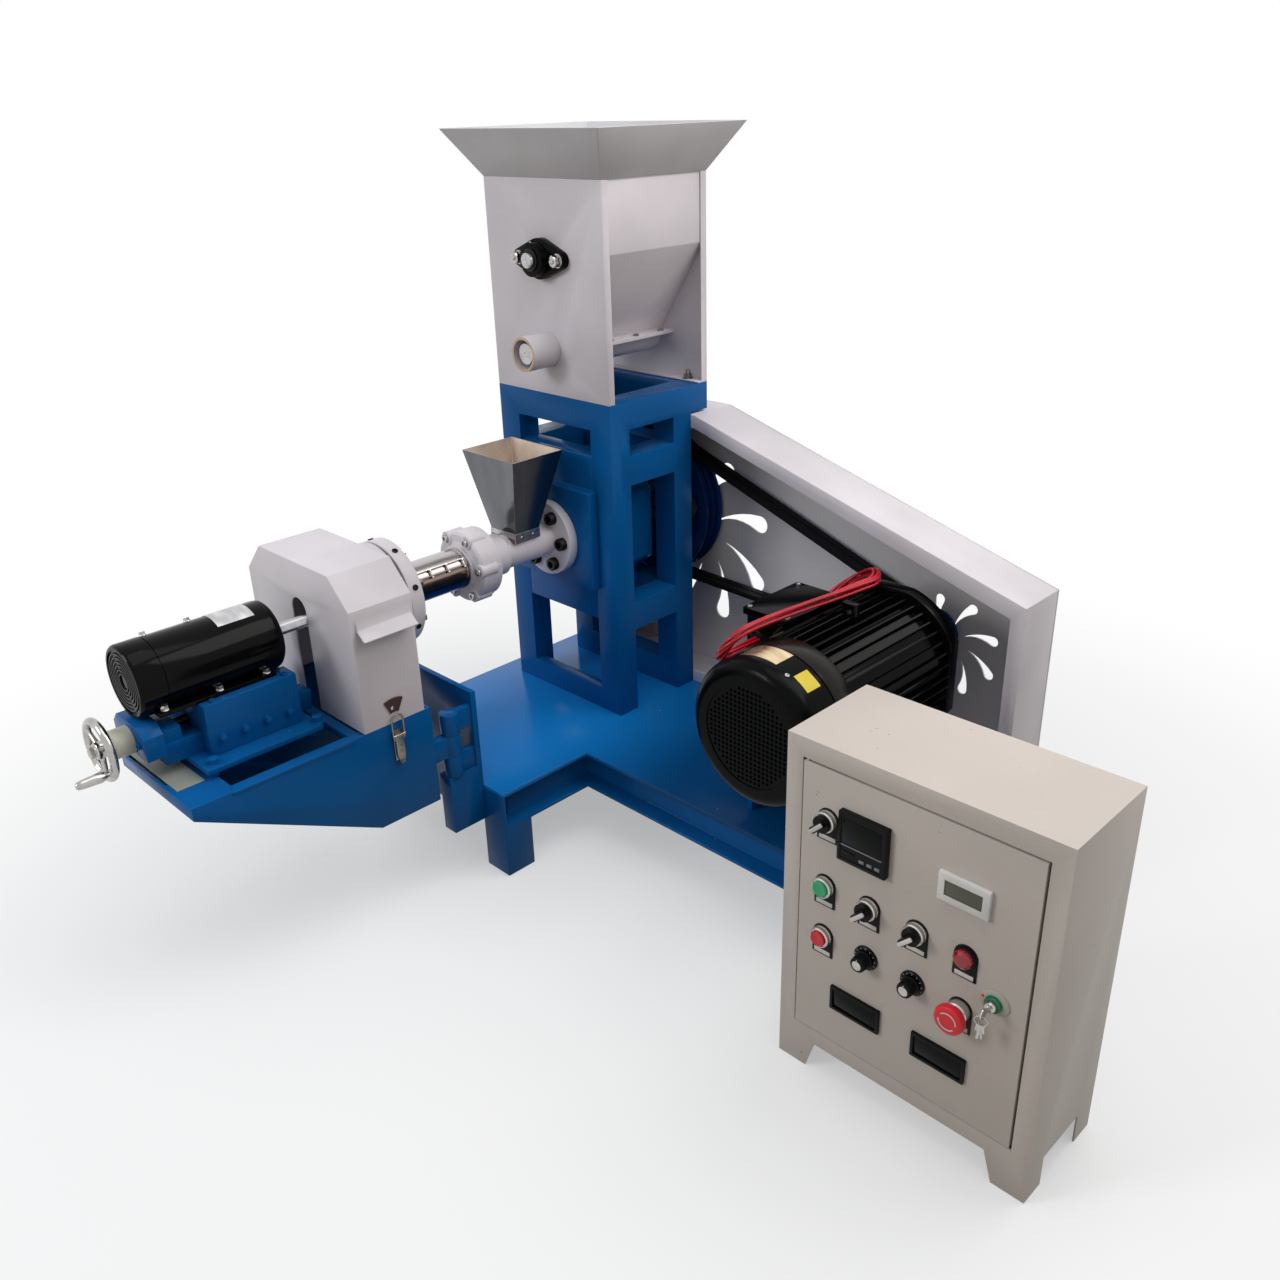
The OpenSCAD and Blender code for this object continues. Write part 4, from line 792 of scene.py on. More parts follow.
def makeCutterMotor():
    long, m = high["cutter_motor"].y - cutterFront, cutterMotor
    bodyRadius, bandLong, face = m["bodyRadius"], m["bandLong"], 0.003
    profile = [(face, 0.0075)]
    for ridge in range(m["ridges"]):
        inner, top = m["ridgeFrom"] + m["ridgeStep"] * ridge, face - m["ridgeHigh"]
        profile += [(face, inner), (top, inner + 0.0011), (top, inner + 0.003), (face, inner + 0.0041)]
    profile += [(face, 0.0488), (0.0002, 0.0495), (0.0006, 0.0536), (face, 0.0561), (0.006, m["bandRadius"]),
                (bandLong, m["bandRadius"]), (bandLong + 0.0006, bodyRadius - 0.0012),
                (bandLong + 0.0018, bodyRadius - 0.0012), (bandLong + 0.0024, bodyRadius), (long - 0.012, bodyRadius),
                (long - 0.005, 0.0542), (long - 0.0015, 0.0505), (long, 0.045)]
    finished(turned(profile, (screwX, cutterFront, screwZ), toBack, 96), "cutter_motor")
    label = wrapped((screwX, cutterFront + 0.2005, screwZ), bodyRadius + 0.0001, 61, 113, 0.059)
    finished(label, "cutter_motor", "motorLabel", "stainless", "silverLabel")
    out = spoke(112)
    top = [(Vector((screwX, cutterFront + along, screwZ)) + out * (bodyRadius - 0.0004), out, 20)
           for along in (0.0495, 0.1175)]
    fixed(hexHead(8.5, 4.2, 5.8), top, "cutter_motor", "motorTopScrews", "chrome")


def makeMotorFeet():
    deck = high["carriage"].z
    rails, spots = [], []
    for side in (-1, 1):
        near, far = sorted((screwX + side * feet["inner"], screwX + side * feet["outer"]))
        rails.append(block((near, cutterFront + 0.0225, deck - 0.001),
                           (far, cutterFront + 0.2085, deck + feet["high"]), 0.0015))
        spots += [((screwX + side * feet["bolt"], cutterFront + along, deck + feet["high"] - 0.0002), toTop, 11)
                  for along in feet["rows"]]
    finished(joined(rails), "cutter_motor", "motorFeet", "black_paint")
    fixed(hexHead(10.5, 6, 8.2), spots, "cutter_motor", "motorFeetBolts", "chrome")


def makeSlideTrim():
    bed, bedFar, table = low["slide_bed"], high["slide_bed"], high["cutter_table"]
    near, far = low["carriage"], high["carriage"]
    corners = [((x, y, bed.z + slide["plateHigh"]), toTop, 9)
               for x in (bed.x + slide["boltIn"], bedFar.x - slide["boltIn"]) for y in slide["boltRows"]]
    fixed(hexHead(15, 8.5, 11.5), corners, "slide_bed", "slideBolts", "blue_paint")
    sides, deck = [], []
    for side, x in ((-1, near.x), (1, far.x)):
        sides += [((x, near.y + 0.02 + step * slide["gibStep"], near.z + slide["gibHigh"]), (side, 0, 0), 5 * step)
                  for step in range(slide["gibScrews"])]
        deck += [((x - side * 0.007, near.y + share * (far.y - near.y), far.z), toTop)
                 for share in slide["capShares"]]
    fixed(hexHead(10, 6, 7.2), sides, "carriage", "slideGibScrews", "blue_paint")
    fixed(socketHead(4.5, 4), deck, "carriage", "carriageScrews", "blue_paint")
    ends = [((screwX + side * slide["endScrews"], bed.y, slideHigh), toFront) for side in (-1, 1)]
    fixed(socketHead(5.5, 4), ends, "slide_bed", "endBlockScrews", "blue_paint")
    front, half = bed.y + 0.03, slide["coverHalf"]
    cover = block((screwX - half, front - 0.0005, 0.397), (screwX + half, front + 0.0305, 0.4345), 0.002)
    editFaces(cover)
    pickSide(0, 0, 1)
    scale(slide["coverTaper"], 1, 1)
    leaveEdit()
    finished(cover, "slide_bed", "slideWayCover", "blue_paint")
    flange = block((table.x - 0.026, -0.4605, table.z - 0.0055), (table.x - 0.004, -0.2565, table.z - 0.0002), 0.0012)
    finished(flange, "cutter_table", "tableRimFlange", "blue_paint")
    edge = low["cutter_table"].y + 0.0085
    sheet = block((-0.596, edge, table.z), (-0.4065, -0.4725, table.z + 0.0014), 0.0003, 1)
    finished(sheet, "catch_sheet", "catchSheetLip", "grey_sheet", "oliveSheet")


handwheel = {"front": -0.5755, "ring": 0.0435, "wire": 0.0063, "hub": 0.013, "spoke": 0.0042,
             "spokes": (30, 150, 270), "crank": -30}


def makeHandwheel():
    w = handwheel
    centre = Vector((screwX, w["front"], slideHigh))
    hubBack = centre + Vector((0, 0.0142, 0))
    rim = hoop(w["ring"], w["wire"], 72, 16)
    pickFaces(lambda middle, normal: math.hypot(middle.x, middle.y) < w["ring"] - w["wire"] * 0.7)
    scale(1.012, 1.012, 0.8)
    leaveEdit()
    pieces = [towards(rim, centre, toFront)]
    pieces.append(turned([(0, 0.0085), (0.001, 0.0095), (0.008, 0.0095), (0.0095, w["hub"]), (0.021, w["hub"]),
                          (0.023, 0.0112), (0.0235, 0.0095)], hubBack, toFront, 40))
    pieces.append(towards(hexHead(15, 6, 9.2), centre - Vector((0, 0.0088, 0)), toFront, 12))
    for angle in w["spokes"]:
        pieces.append(turned([(0.008, w["spoke"] * 1.25), (0.018, w["spoke"]), (0.034, w["spoke"] * 0.86),
                              (0.0405, w["spoke"] * 1.3)], centre, spoke(angle), 16))
    grip = outline((2, 7.2), (6, 6.8), (8, 4.5), (12, 4.8), (14.5, 6.4), (21, 8.1), (32, 7.6), (46, 6.8), (53, 5.8),
                   (55.6, 3.5))
    pieces.append(turned(grip, centre + spoke(w["crank"]) * w["ring"], toFront, 28))
    rod = turned(outline((0, 6.2), (0.8, 6.9), (293, 6.9), (293.8, 6.2)), hubBack, toBack, 24)
    finished(rod, "handwheel", "slideLeadScrew", "bright_steel", "blackOxide")
    finished(joined(pieces), "handwheel", angle=40)


latch = {"fanIn": 0.017, "fanOut": 0.041, "fanSpread": 52, "thick": 0.0022, "loop": 0.0105, "wire": 0.0016,
         "loopLong": 0.026}


def makeLatch():
    node = "hood_latch"
    face, y, z = low[node].x, mid(node).y, high["cutter_table"].z  # the hood's side, the lever's middle, the rim

    def upright(piece, out, up):  # flat on the hood, its X axis to the back
        piece.data.transform(Matrix(((0, 0, 1, face + out), (1, 0, 0, y), (0, 1, 0, z + up), (0, 0, 0, 1))))

    wide = latch["fanOut"] - latch["fanIn"]
    keeper = bar(wide, latch["thick"])  # spun into a fan
    bpy.ops.transform.translate(value=(latch["fanIn"] + wide / 2, 0, 0))
    start = math.radians(90 + latch["fanSpread"] / 2)
    bpy.ops.transform.rotate(value=-start, orient_axis="Z", center_override=(0, 0, 0))
    bpy.ops.mesh.spin(steps=12, angle=math.radians(latch["fanSpread"]), center=(0, 0, 0), axis=toTop)
    leaveEdit()
    outward()
    upright(keeper, 0.0012, 0.003)
    rounded(keeper, 0.0004, 1)
    finished(keeper, node, "latchKeeper", "plated_steel", "keeperBrown")
    rivet = outline((0, 3.2), (1.2, 3), (2, 1.8), (2.2, 0.6))
    rivet = turned(rivet, (face + 0.002, y - 0.004, z + 0.028), toRight, 16)
    finished(rivet, node, "latchRivet", "chrome")
    bail = hoop(latch["loop"], latch["wire"], 32, 10)
    pickFaces(lambda middle, normal: middle.y > 0)
    bpy.ops.transform.translate(value=(0, latch["loopLong"], 0))
    leaveEdit()
    upright(bail, 0.0058, -0.021)
    back = block((face + 0.0005, y - 0.009, z - 0.066), (face + 0.0028, y + 0.009, z - 0.012), 0.0008)
    lever = block((face + 0.0036, y - 0.0078, z - 0.058), (face + 0.0078, y + 0.0078, z - 0.016), 0.0014)
    editFaces(lever)
    pickSide(0, 0, -1)
    for out, down, shares in ((0.0022, -0.0085, (0.8, 0.72, 1)), (0.0008, -0.004, (0.6, 0.7, 1))):
        extrude(out, 0, down)
        scale(*shares)
    leaveEdit()
    pieces = [bail, back, lever, turned(outline((0, 2.6), (0.6, 3.2), (22.4, 3.2), (23, 2.6)),
                                        (face + 0.0056, y - 0.0115, z - 0.0215), toBack, 16)]
    pieces += [turned(outline((0, 2.4), (1, 2.2), (1.6, 1)), (face + 0.0076, y, z + lift), toRight, 14)
               for lift in (-0.05, -0.04)]
    finished(joined(pieces), node, angle=40)


makeCutterMotor()
makeMotorFeet()
makeSlideTrim()
makeHandwheel()
makeLatch()
print("cutter head detailed")


# Barrel, chute and hopper: screws, heater, bearing rings, the screw's and the auger's turns
barrel = {"neckFace": 0.2765, "capCircle": 0.051, "lugCircle": 0.056, "lugFirst": 5, "lugFront": 0.0785,
          "lugBack": 0.1125, "ringScrewsAt": -0.073, "ringScrews": 8}
barrelX, barrelZ = mid("main_screw").x, mid("main_screw").z


def inBarrel(along):  # on its axis
    return Vector((barrelX, along, barrelZ))


def makeBarrelScrews():
    around = ringSpots(inBarrel(barrel["neckFace"]), toFront, barrel["capCircle"], 6)
    fixed(socketHead(12, 12, 24), around, "barrel_neck", "flangeCapScrews", "black_casting", "blackOxide")
    front = ringSpots(inBarrel(barrel["lugFront"]), toFront, barrel["lugCircle"], 6, barrel["lugFirst"])
    fixed(socketHead(6.8, 5.2, 18), front, "barrel_clamp", "clampScrews", "chrome", "bright_steel")
    back = ringSpots(inBarrel(barrel["lugBack"]), toBack, barrel["lugCircle"], 6, barrel["lugFirst"])
    fixed(hexHead(13.5, 7, 8.8), back, "barrel_clamp", "clampNuts", "pale_paint")
    disc = turned(outline((0, 43), (1.2, 44.5), (1.2, 58.5), (4.5, 63.2), (31, 63.2), (33.5, 61)),
                  inBarrel(barrel["lugFront"] + 0.0012), toBack, 72)
    finished(disc, "barrel_clamp", "clampFlange", "pale_paint")
    count, rim = barrel["ringScrews"], high["die_ring"].x - barrelX - 0.0005
    outs = [spoke(20 + 360 * i / count) for i in range(count)]
    spots = [(inBarrel(barrel["ringScrewsAt"]) + out * rim, out) for out in outs]
    fixed(socketHead(5, 2.4, 16), spots, "die_ring", "dieRingScrews", "black_casting", "blackOxide")
    back = ringSpots(inBarrel(high["die_ring"].y - 0.0102), toBack, 0.078, count, 22)
    fixed(hexHead(14, 7, 9.5), back, "die_ring", "dieRingBolts", "plated_steel", "bright_steel")


chute = {"half": 0.0348, "front": 0.1797, "back": 0.2373, "top": 0.5475, "thin": 0.0014, "rivets": (0.195, 0.221)}


def makeChuteCollar():  # the sheet band at the chute's foot, with its rivets
    left, right, front, back, top, thin = (barrelX - chute["half"], barrelX + chute["half"],
                                           *(chute[k] for k in ("front", "back", "top", "thin")))
    bottom, over = low["inlet_chute"].z + 0.0005, barrelZ + 0.0298  # the front and back ends stay over the screw
    sides = [block(*ends, 0.0003, 1) for ends in (
        ((left, front, over), (right, front + thin, top)), ((left, back - thin, over), (right, back, top)),
        ((left, front, bottom), (left + thin, back, top)), ((right - thin, front, bottom), (right, back, top)))]
    finished(joined(sides), "inlet_chute", "chuteCollar", "stainless", "bright_steel")
    spots = [((x, y, 0.539), (side, 0, 0)) for side, x in ((-1, left), (1, right)) for y in chute["rivets"]]
    rivet = turned(outline((0, 2.6), (0.8, 2.4), (1.4, 1.4)), steps=14)
    fixed(rivet, spots, "inlet_chute", "chuteRivets", "chrome")


heater = {"radius": 0.036, "bead": 0.0006, "seam": 35, "lips": (-8, 8), "screws": 4, "screwStep": 0.034,
          "plugAt": 100}


def makeHeater():
    node = "band_heater"
    front, back, outer, bead = low[node].y, high[node].y, heater["radius"], heater["bead"]
    long = back - front
    pieces = [turned([(0, outer - 0.0016), (0.0006, outer + bead), (0.005, outer + bead), (0.0056, outer),
                      (long - 0.0056, outer), (long - 0.005, outer + bead), (long - 0.0006, outer + bead),
                      (long, outer - 0.0016)], inBarrel(front), toBack, 72)]
    for spread in heater["lips"]:  # the two folded lips that the clamp screws draw together
        lip = block((outer - 0.002, front + 0.012, -0.0009), (outer + 0.0058, back - 0.007, 0.0009), 0.0004, 1)
        turn = Matrix.Rotation(-math.radians(heater["seam"] + spread), 4, "Y")
        lip.data.transform(Matrix.Translation((barrelX, 0, barrelZ)) @ turn)
        pieces.append(lip)
    finished(joined(pieces), node)
    out, across = spoke(heater["seam"]), spoke(heater["seam"] - 90)
    spots = [(inBarrel(front + 0.022 + heater["screwStep"] * i) + out * (outer + 0.0032) - across * 0.0055, across)
             for i in range(heater["screws"])]
    screw = turned(outline((0, 3.2), (2.5, 3.2), (3, 1.6), (12.5, 1.6), (13, 2.8), (15.2, 2.8)), steps=14)
    fixed(screw, spots, node, "heaterScrews", "bright_steel")
    out = spoke(heater["plugAt"])
    plug = turned(outline((-2, 8.5), (1, 8.5), (1.8, 7), (9, 7), (10.2, 5.8), (10.4, 3.6), (6, 3.2)),
                  inBarrel(front + 0.015) + out * outer, out, 24)
    finished(plug, node, "heaterPlug", "black_plastic")


bearings = {"agitatorHigh": 1.004, "augerHigh": 0.85, "bolt": 0.0495, "flange": 0.0172}


def makeBearingTrim():
    node = "flange_bearings"
    x, front, back = mid(node).x, low[node].y, high[node].y
    faces = [(Vector((x, y, z)), Vector(out)) for y, z, out in (
        (front, bearings["agitatorHigh"], toFront), (back, bearings["agitatorHigh"], toBack),
        (back, bearings["augerHigh"], toBack))]
    ring = turned(outline((-4, 18.5), (2.6, 18.5), (3.4, 17.6), (3.4, 14.2), (4.8, 13.8), (5.2, 12.5)), steps=36)
    fixed(ring, faces, node, "bearingRings", "black_casting", "blackOxide")
    cap = turned(outline((0, 11.2), (6.2, 11.2), (7, 10.4), (7, 2.8), (4.8, 1.4)), steps=28)
    fixed(cap, [(place + out * 0.004, out) for place, out in faces], node, "bearingInnerRings", "bright_steel")
    nuts = joined([turned(outline((0, 4.6), (14.8, 4.6), (16.8, 2.6)), steps=14), hexHead(17.5, 10.5, 11.8)])
    bolts = [(place - out * bearings["flange"] + Vector((side * bearings["bolt"], 0, 0)), out, 10)
             for place, out in faces for side in (-1, 1)]
    fixed(nuts, bolts, node, "bearingNuts", "chrome")
    nipple = turned(outline((0, 2.6), (3, 2.6), (3.6, 1.4), (5.2, 2.2), (6.4, 1.2)),
                    faces[0][0] + Vector((0, 0.014, 0)) + spoke(118) * 0.0272, spoke(118), 12)
    finished(nipple, node, "greaseNipple", "bright_steel")


def helix(inner, outer, pitch, turns, thick, steps=28):  # a screw's turns on its own Z
    strip = bar(outer - inner, thick)
    bpy.ops.transform.translate(value=((inner + outer) / 2, 0, 0))
    leaveEdit()
    modify(strip, "SCREW", axis="Z", angle=math.radians(360), screw_offset=pitch, iterations=turns, steps=steps,
           render_steps=steps, use_merge_vertices=True)
    editFaces(strip)
    bpy.ops.mesh.select_mode(type="EDGE")
    bpy.ops.mesh.select_all(action="DESELECT")
    bpy.ops.mesh.select_non_manifold(extend=False)
    bpy.ops.mesh.edge_face_add()
    leaveEdit()
    outward()
    return strip


def makeScrew(node, shaft, turns, start):  # along the node's own axis
    place = Vector((mid(node).x, low[node].y, mid(node).z))
    shaft = turned(shaft, place, toBack, 40)
    turns = towards(helix(*turns), place + Vector((0, start, 0)), toBack)
    finished(joined([shaft, turns]), node)


def makeScrews():
    long, augerLong = (high[node].y - low[node].y for node in ("main_screw", "feed_auger"))
    shaft = [(0, 0.0165), (0.0015, 0.018), (long - 0.0015, 0.018), (long, 0.0165)]
    makeScrew("main_screw", shaft, (0.0172, 0.0243, 0.034, 10, 0.005), 0.006)
    shaft = outline((1.2, 2.2), (1.2, 3.4), (0, 4.2), (0, 17.8), (1.2, 19), (10.5, 19), (11.5, 15.5), (12.5, 11.8))
    shaft += [(augerLong - 0.001, 0.0118), (augerLong, 0.0108)]
    reach = (high["feed_auger"].x - low["feed_auger"].x) / 2
    makeScrew("feed_auger", shaft, (0.011, reach, 0.034, 7, 0.0028), 0.046)


hopper = {"troughIn": 0.008, "troughRows": (0.345, 0.409, 0.473, 0.537), "foldIn": 0.036, "foldRow": 0.5515}


def makeHopperBolts():
    near, far, plate = low["feed_trough"], high["feed_trough"], "hopper_back_plate"
    spots = [((x, y, far.z), toTop, 15) for x in (near.x + hopper["troughIn"], far.x - hopper["troughIn"])
             for y in hopper["troughRows"]]
    fixed(hexHead(9, 4.8, 6.5), spots, "feed_trough", "troughBolts", "plated_steel")
    fold = [((x, hopper["foldRow"], low[plate].z + 0.003), toTop, 8)
            for x in (low[plate].x + hopper["foldIn"], high[plate].x - hopper["foldIn"])]
    bolt = joined([hexHead(13, 6.5, 9.8), turned(outline((7, 4), (15, 4), (16.5, 3)), steps=14)])
    fixed(bolt, fold, plate, "hopperFoldBolts", "plated_steel")
    tube = mid("feed_tube")
    rim = towards(band(0.0252, 0.0298, 0, 0.0016), (tube.x, low["feed_tube"].y + 0.0012, tube.z), toFront)
    finished(rim, "feed_tube", "feedTubeRim", "pale_paint", "bareRim")


makeBarrelScrews()
makeChuteCollar()
makeHeater()
makeBearingTrim()
makeScrews()
makeHopperBolts()
print("barrel and hopper detailed")


# Cabinet door: legend plates, collars, switches, buttons, lamp, lock and instruments
doorFace = low["cabinet_door"].y
cabinetLeft = low["cabinet_box"].x
controls = {  # millimetres from the cabinet's left edge and from the floor
    "selectors": ((69, 422), (137, 322), (206, 322)), "knobs": ((137, 243), (206, 243)), "start": (69, 322),
    "stop": (69, 243), "lamp": (273, 322), "emergency": (273, 243), "lock": (315, 278),
    "controller": (125, 414), "whiteMeter": (264, 408), "blackMeters": ((125, 152), (250, 152)),
}
panel = {"legend": 16, "strip": (25, 6.2), "stripDown": 26.8, "ticks": 11, "tickStep": 27, "tickCircle": 0.0148,
         "selectorLean": -45, "flute": 9, "lockOval": 0.84, "keyOval": 0.85}


def onDoor(spot, out=0.0, across=0.0, up=0.0):
    return Vector((cabinetLeft + spot[0] / 1000 + across, doorFace - out, spot[1] / 1000 + up))


def knurl(spot, steps, *profile):  # a round part on the door
    return turned(outline(*profile), onDoor(spot), toFront, steps)


def facing(piece, spot, *shift, spin=0):  # one drawn on its own Z
    return towards(piece, onDoor(spot, *shift), toFront, spin)


def plate(spot, wide, tall, front, back, width=0.8, across=0.0, up=0.0):  # a block on the door, in millimetres
    wide, tall, front, back, width, across, up = (k / 1000 for k in (wide, tall, front, back, width, across, up))
    at = onDoor(spot, 0, across, up)
    return block((at.x - wide / 2, doorFace - front, at.z - tall / 2),
                 (at.x + wide / 2, doorFace - back, at.z + tall / 2), width)


def sunk(frame, rim, deep):  # its face gets a frame and a sunk middle
    editFaces(frame)
    pickFaces(lambda middle, normal: normal.y < -0.99)
    bpy.ops.mesh.inset(thickness=rim)
    thicken(-deep)
    leaveEdit()
    return frame


def leaning(low, high, width, lean, spot):  # a block across the door, turned in its plane
    piece = block(low, high, width)
    piece.data.transform(Matrix.Rotation(math.radians(lean), 4, "Z"))
    return facing(piece, spot)


def doorPiece(pieces, *rest, **more):
    finished(joined(pieces), "cabinet_door", *rest, **more)


def makeLegends():
    plates, strips = [], []
    half = panel["legend"]
    for spot in (*controls["selectors"], *(controls[k] for k in ("start", "stop", "lamp", "emergency"))):
        plates += [knurl(spot, 48, (0, half), (1.2, half), (1.6, half - 0.6)),
                   plate(spot, 2 * half, 2 * half, 1.6, 0, 0.4, up=-half)]
        strips.append(plate(spot, *panel["strip"], 1.9, 1, 0.1, up=-panel["stripDown"]))
    doorPiece(plates, "legendPlates", "black_plastic")
    doorPiece(strips, "legendStrips", "cream_plastic", "bareStrip")


def makeCollars():
    ribbed = [knurl(spot, 48, (1.4, 14.3), (2.4, 14.5), (4.5, 14.5), (5, 14.1), (5.6, 14.5), (10.4, 14.5), (12, 13.2),
                    (12, 12.2), (10.4, 11.8)) for spot in (*controls["selectors"], controls["start"],
                                                           controls["stop"])]
    ribbed.append(knurl(controls["emergency"], 48, (1.4, 14.3), (2.4, 14.5), (12.2, 14.5), (14, 13), (14, 11)))
    finished(joined(ribbed), "switch_collars")
    skirts = [knurl(spot, 56, (0, 17.2), (2.6, 17.2), (3.8, 15.8), (4, 12.2), (3, 11.8))
              for spot in controls["knobs"]]
    doorPiece(skirts, "knobSkirts", "black_plastic")
    ticks = []
    for spot in controls["knobs"]:
        for i in range(panel["ticks"]):
            tick = block((-0.0011, -0.00025, 0.0041), (0.0011, 0.00025, 0.0043), 0)
            turn = Matrix.Rotation(math.radians(-45 + panel["tickStep"] * i), 4, "Z")
            tick.data.transform(turn @ Matrix.Translation((panel["tickCircle"], 0, -0.0003)))
            ticks.append(facing(tick, spot))
    doorPiece(ticks, "knobTicks", "cream_plastic", "bareStrip")


def makeSelectors():
    for i, spot in enumerate(controls["selectors"]):
        node, lean = f"selector_{i + 1}", panel["selectorLean"]
        cap = knurl(spot, 40, (2, 6.6), (10.8, 6.6), (11.2, 11.7), (12.6, 12.3), (17.2, 12.1), (18.5, 10.8))
        grip = leaning((-0.0046, -0.0116, 0.0165), (0.0046, 0.0116, 0.0272), 0.0012, lean, spot)
        finished(joined([cap, grip]), node)
        inlay = leaning((-0.0027, -0.0113, 0.0262), (0.0027, 0.0119, 0.0302), 0.0009, lean, spot)
        finished(inlay, node, camel(node) + "Grip", "plated_collar", "paleGrip")


def makeKnobs():
    for i, spot in enumerate(controls["knobs"]):
        node = f"speed_knob_{i + 1}"
        knob = turned(outline((3.2, 3.5), (4.6, 3.5), (4.8, 12.4), (7.2, 12.4), (7.8, 11.2), (20.5, 10.4),
                              (22.2, 9.2)), steps=40)
        editFaces(knob)
        pickFaces(lambda middle, normal: 0.008 < middle.z < 0.0204 and abs(normal.z) < 0.5
                  and round(angleOf(middle) / panel["flute"] - 0.5) % 2 == 0)
        bpy.ops.mesh.inset(thickness=0.00025, depth=-0.0006, use_individual=True)
        leaveEdit()
        finished(facing(knob, spot), node)
        cap = knurl(spot, 32, (21.8, 6.6), (22.6, 6.6), (22.9, 6), (22.9, 4.4), (22.6, 4.2))
        finished(cap, node, camel(node) + "Cap", "plated_collar", "chrome")
        mark = plate(spot, 1.1, 3.4, 23.1, 22.2, 0.2, up=7.4)
        finished(mark, node, camel(node) + "Mark", "cream_plastic", "bareStrip")


def makeButtons():
    for name in ("start", "stop"):
        button = knurl(controls[name], 40, (6, 10.6), (6.4, 11.1), (13.8, 11.1), (14.9, 10.2), (15, 8.8), (14.6, 7.6))
        finished(button, f"{name}_button")
    spot, node = controls["emergency"], "emergency_stop"
    head = knurl(spot, 64, (7, 6.6), (19.4, 6.6), (19.6, 16.6), (20.4, 19.2), (22.2, 20), (27.2, 20), (29.6, 19.2),
                 (30.9, 17.4), (31.4, 14.8), (31.5, 8))
    finished(head, node)
    arcs = band(0.0108, 0.0124, 0.0312, 0.0317, 72, ((20, 160), (200, 340)))
    finished(facing(arcs, spot, spin=-20), node, "emergencyArcs", "cream_plastic", "bareStrip")
    spot = controls["lamp"]
    base = knurl(spot, 40, (1.4, 14.3), (5, 14.5), (6, 13.8), (6, 12.6))
    doorPiece([base], "lampBase", "black_plastic")
    lens = knurl(spot, 12, (5.5, 12.8), (10.5, 12.4), (13.8, 8.8), (14.2, 5))
    doorPiece([lens], "lampLens", "red_plastic", "lampRed", angle=20)


def makeKey(spot, lean, long):  # a spare one that hangs on the ring
    key = block((-0.0055, -0.0006, -0.011), (0.0055, 0.0006, 0.0), 0.0005)
    editFaces(key)
    pickSide(0, 0, -1)
    for share, down in ((0.72, -0.002), (0.42, 0.013 - long)):
        scale(share, 1, 1)
        extrude(0, 0, down)
    leaveEdit()
    turns = Matrix.Rotation(math.radians(lean), 4, "Y") @ Matrix.Rotation(math.radians(3 * lean), 4, "Z")
    key.data.transform(Matrix.Translation(onDoor(spot, 0.0262, -0.0015, -0.0165)) @ turns)
    return key


def makeLock():
    spot = controls["lock"]
    flange = turned(outline((0, 19.6), (0.8, 20), (2.2, 19.2), (3, 17.2), (3.2, 12)))
    flange.data.transform(Matrix.Diagonal((1, panel["lockOval"], 1, 1)))
    doorPiece([facing(flange, spot)], "lockFlange", "cream_plastic", "lockCream")
    ring = knurl(spot, 36, (2, 11.2), (7.5, 10.8), (9, 9.6), (9, 7.8), (8.4, 7.4))
    doorPiece([ring], "lockRing", "green_plastic", "lockGreen")
    dot = turned(outline((0, 2.2), (0.6, 2.2), (0.8, 1.8)), onDoor(spot, 0.0026, -0.0145, 0.004), toFront, 20)
    doorPiece([dot], "lockDot", "red_plastic")
    pieces = [knurl(spot, 32, (8, 7.4), (12.8, 7.2), (14, 6.2)), plate(spot, 1.8, 7, 24, 13, 0.3)]  # plug and key
    bow = turned(outline((-0.9, 7.8), (0.9, 7.8)), steps=28)
    rounded(bow, 0.0003, 1)
    bow.data.transform(Matrix.Diagonal((1, panel["keyOval"], 1, 1)))
    pieces.append(towards(bow, onDoor(spot, 0.0268), toRight))
    ring = hoop(0.0078, 0.0006, 32, 8)
    selectAll()
    scale(1.0, 0.86, 1.0)
    leaveEdit()
    pieces.append(towards(ring, onDoor(spot, 0.0274, -0.0015, -0.0105), (0.35, -0.94, 0)))
    pieces += [makeKey(spot, lean, long) for lean, long in ((9, 0.024), (-6, 0.021))]
    finished(joined(pieces), "door_lock", paint="chrome", angle=40)


def makeInstruments():
    spot, meters = controls["controller"], controls["blackMeters"]
    frames = [sunk(plate(spot, 72, 72, 10, 0, 2), 0.0035, 0.0008)]
    frames += [sunk(plate(meter, 77, 38, 5, 0, 1.2), 0.0032, 0.0022) for meter in meters]
    whole = joined(frames)
    finished(whole, "panel_instruments", "instrumentFrames", "black_plastic", "instrumentGrey")
    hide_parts("panel_instruments")
    glass = [plate(spot, 56, 34, 9.7, 8, 0.4, up=10.5)]
    glass += [plate(meter, 66, 27, 3.4, 2.2, 0.3) for meter in meters]
    doorPiece(glass, "instrumentGlass", "black_plastic", "darkGlass")
    line = plate(spot, 60, 1.6, 9.8, 8.5, 0.2, up=-10.8)
    doorPiece([line], "controllerLine", "plated_steel", "greyLine")
    keys = [plate(spot, 7.5, 4.2, 10.4, 8.5, 0.8, 1.5 + 11.5 * i, -24.5) for i in range(3)]
    doorPiece(keys, "controllerKeys", "black_plastic", "greyLine")
    strip = plate(spot, 18, 3.5, 9.8, 8.5, 0.2, -18, -20.5)
    doorPiece([strip], "controllerStrip", "black_plastic", "darkGlass")
    spot = controls["whiteMeter"]
    frame = sunk(plate(spot, 68, 40, 7, 0, 1.8), 0.0075, 0.0022)
    doorPiece([frame], "meterFrame", "cream_plastic", "meterWhite")
    doorPiece([plate(spot, 51.5, 23.5, 5.8, 3.5, 0.4)], "meterWindow", "black_plastic", "oliveWindow")


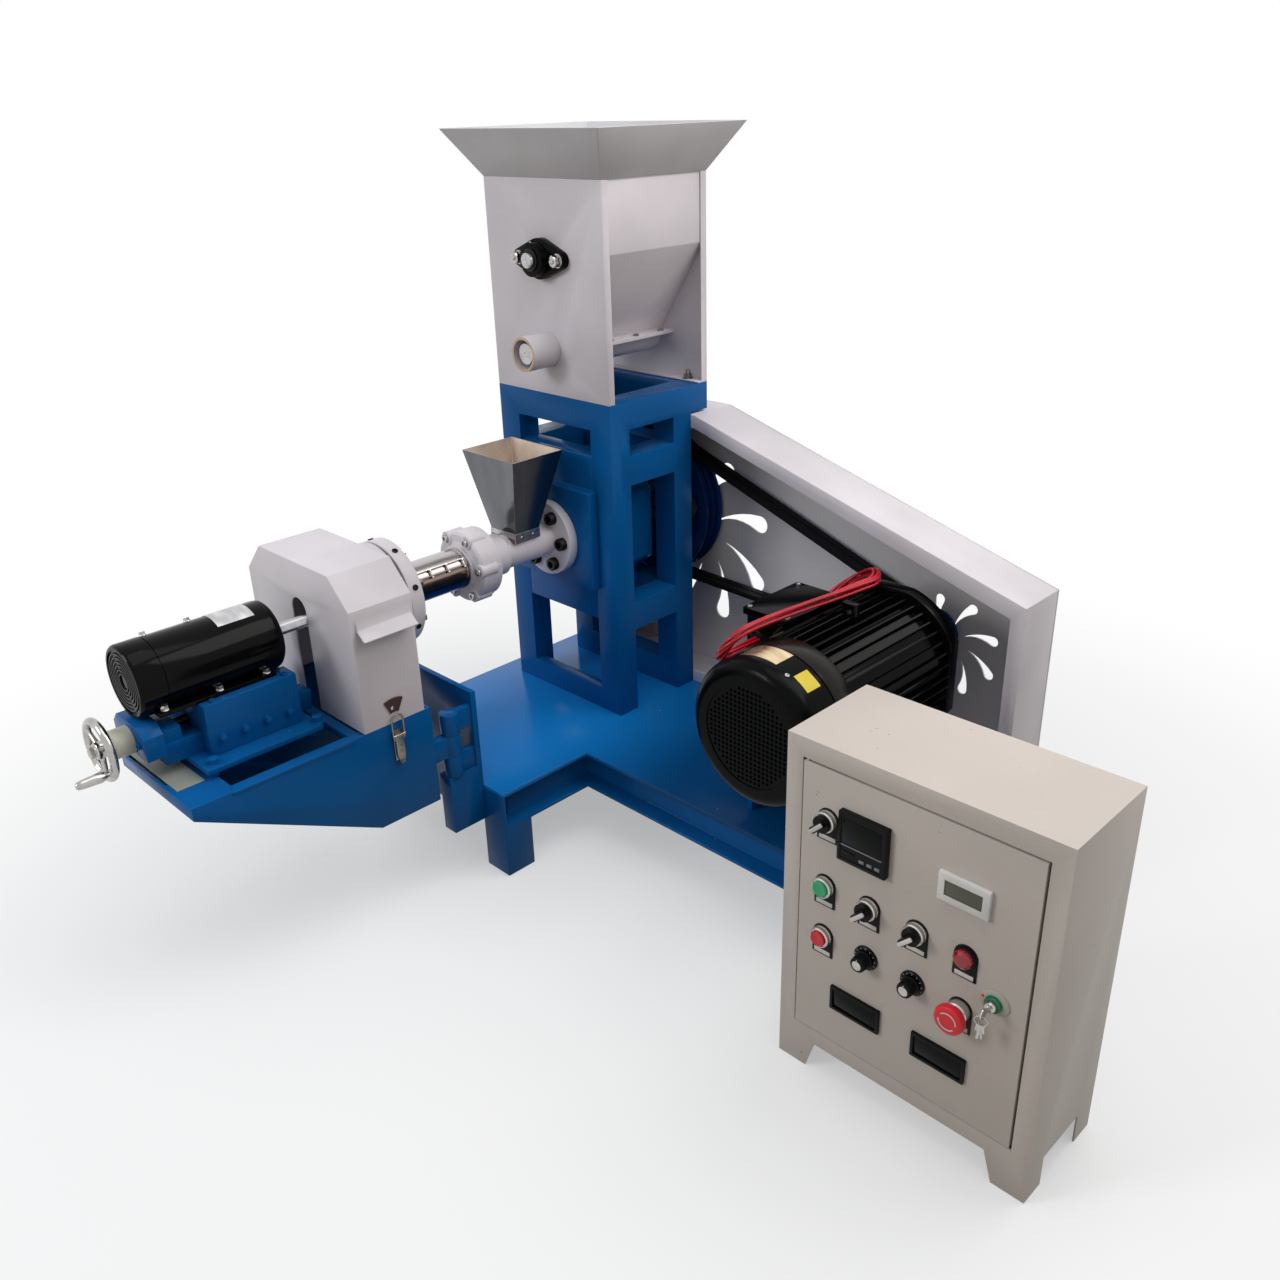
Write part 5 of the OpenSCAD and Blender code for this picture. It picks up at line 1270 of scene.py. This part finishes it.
makeLegends()
makeCollars()
makeSelectors()
makeKnobs()
makeButtons()
makeLock()
makeInstruments()
print("cabinet door detailed")


# Floor and lights
lamps = {  # place, aimed at, size, watts, colour
    "keyLamp": ((-1.5, -3.0, 2.4), (0, 0, 0.4), 1.1, 40, (0.98, 0.99, 1.0)),
    "sideLamp": ((0.7, 0.7, 1.9), (-0.3, -0.2, 0.4), 1.2, 15, (1.0, 0.96, 0.92)),
    "topLamp": ((0.1, -0.2, 3.4), (0, 0, 0.3), 1.8, 16, (1.0, 1.0, 1.0)),
}
sky = {"Color": (0.94, 0.97, 1.0), "Strength": 0.52}
white = {"Color": (1, 1, 1), "Strength": 1.0}
floorTone = (0.26, 0.22, 0.17)  # what the floor throws back on the object
floorLift = 0.4  # how far its shadows are lightened


def lightScene():
    for name, (place, aim, size, watts, colour) in lamps.items():
        clearAll()
        bpy.ops.object.light_add(type="AREA", location=place)
        lamp = bpy.context.object
        lamp.name = name
        lamp.data.size, lamp.data.energy, lamp.data.color = size, watts, colour
        lamp.rotation_euler = (Vector(aim) - Vector(place)).to_track_quat("-Z", "Y").to_euler()
    world = bpy.data.worlds.new("studio")
    bpy.context.scene.world = world
    world.use_nodes = True
    studio = NodeTree(world.node_tree)
    soft, bright = (studio.node("ShaderNodeBackground", {}, values) for values in (sky, white))
    studio.blend(studio.seen(), soft, bright, "World Output")


def layFloor():
    clearAll()
    bpy.ops.mesh.primitive_grid_add(x_subdivisions=4, y_subdivisions=4, size=60, location=(0, 0, -0.0006))
    floor = bpy.context.object
    floor.name = "studioFloor"
    paint = Paint("paleFloor", Roughness=0.9, Specular=0.0)
    seen = paint.seen()
    away = paint.fade((paint.x * paint.x + paint.y * paint.y).root(), 0.8, 1.9) * (1 - floorLift) + floorLift
    paint.put("Base Color", paint.mix(seen, floorTone, (0.9, 0.9, 0.9)))
    paint.blend(away * seen, Wire(paint, paint.shader.outputs[0]), paint.node("ShaderNodeEmission", {}, white),
                "Material Output")
    floor.data.materials.append(paint.material)


lightScene()
layFloor()
bpy.context.scene.view_settings.view_transform = "Standard"
print("scene ready")
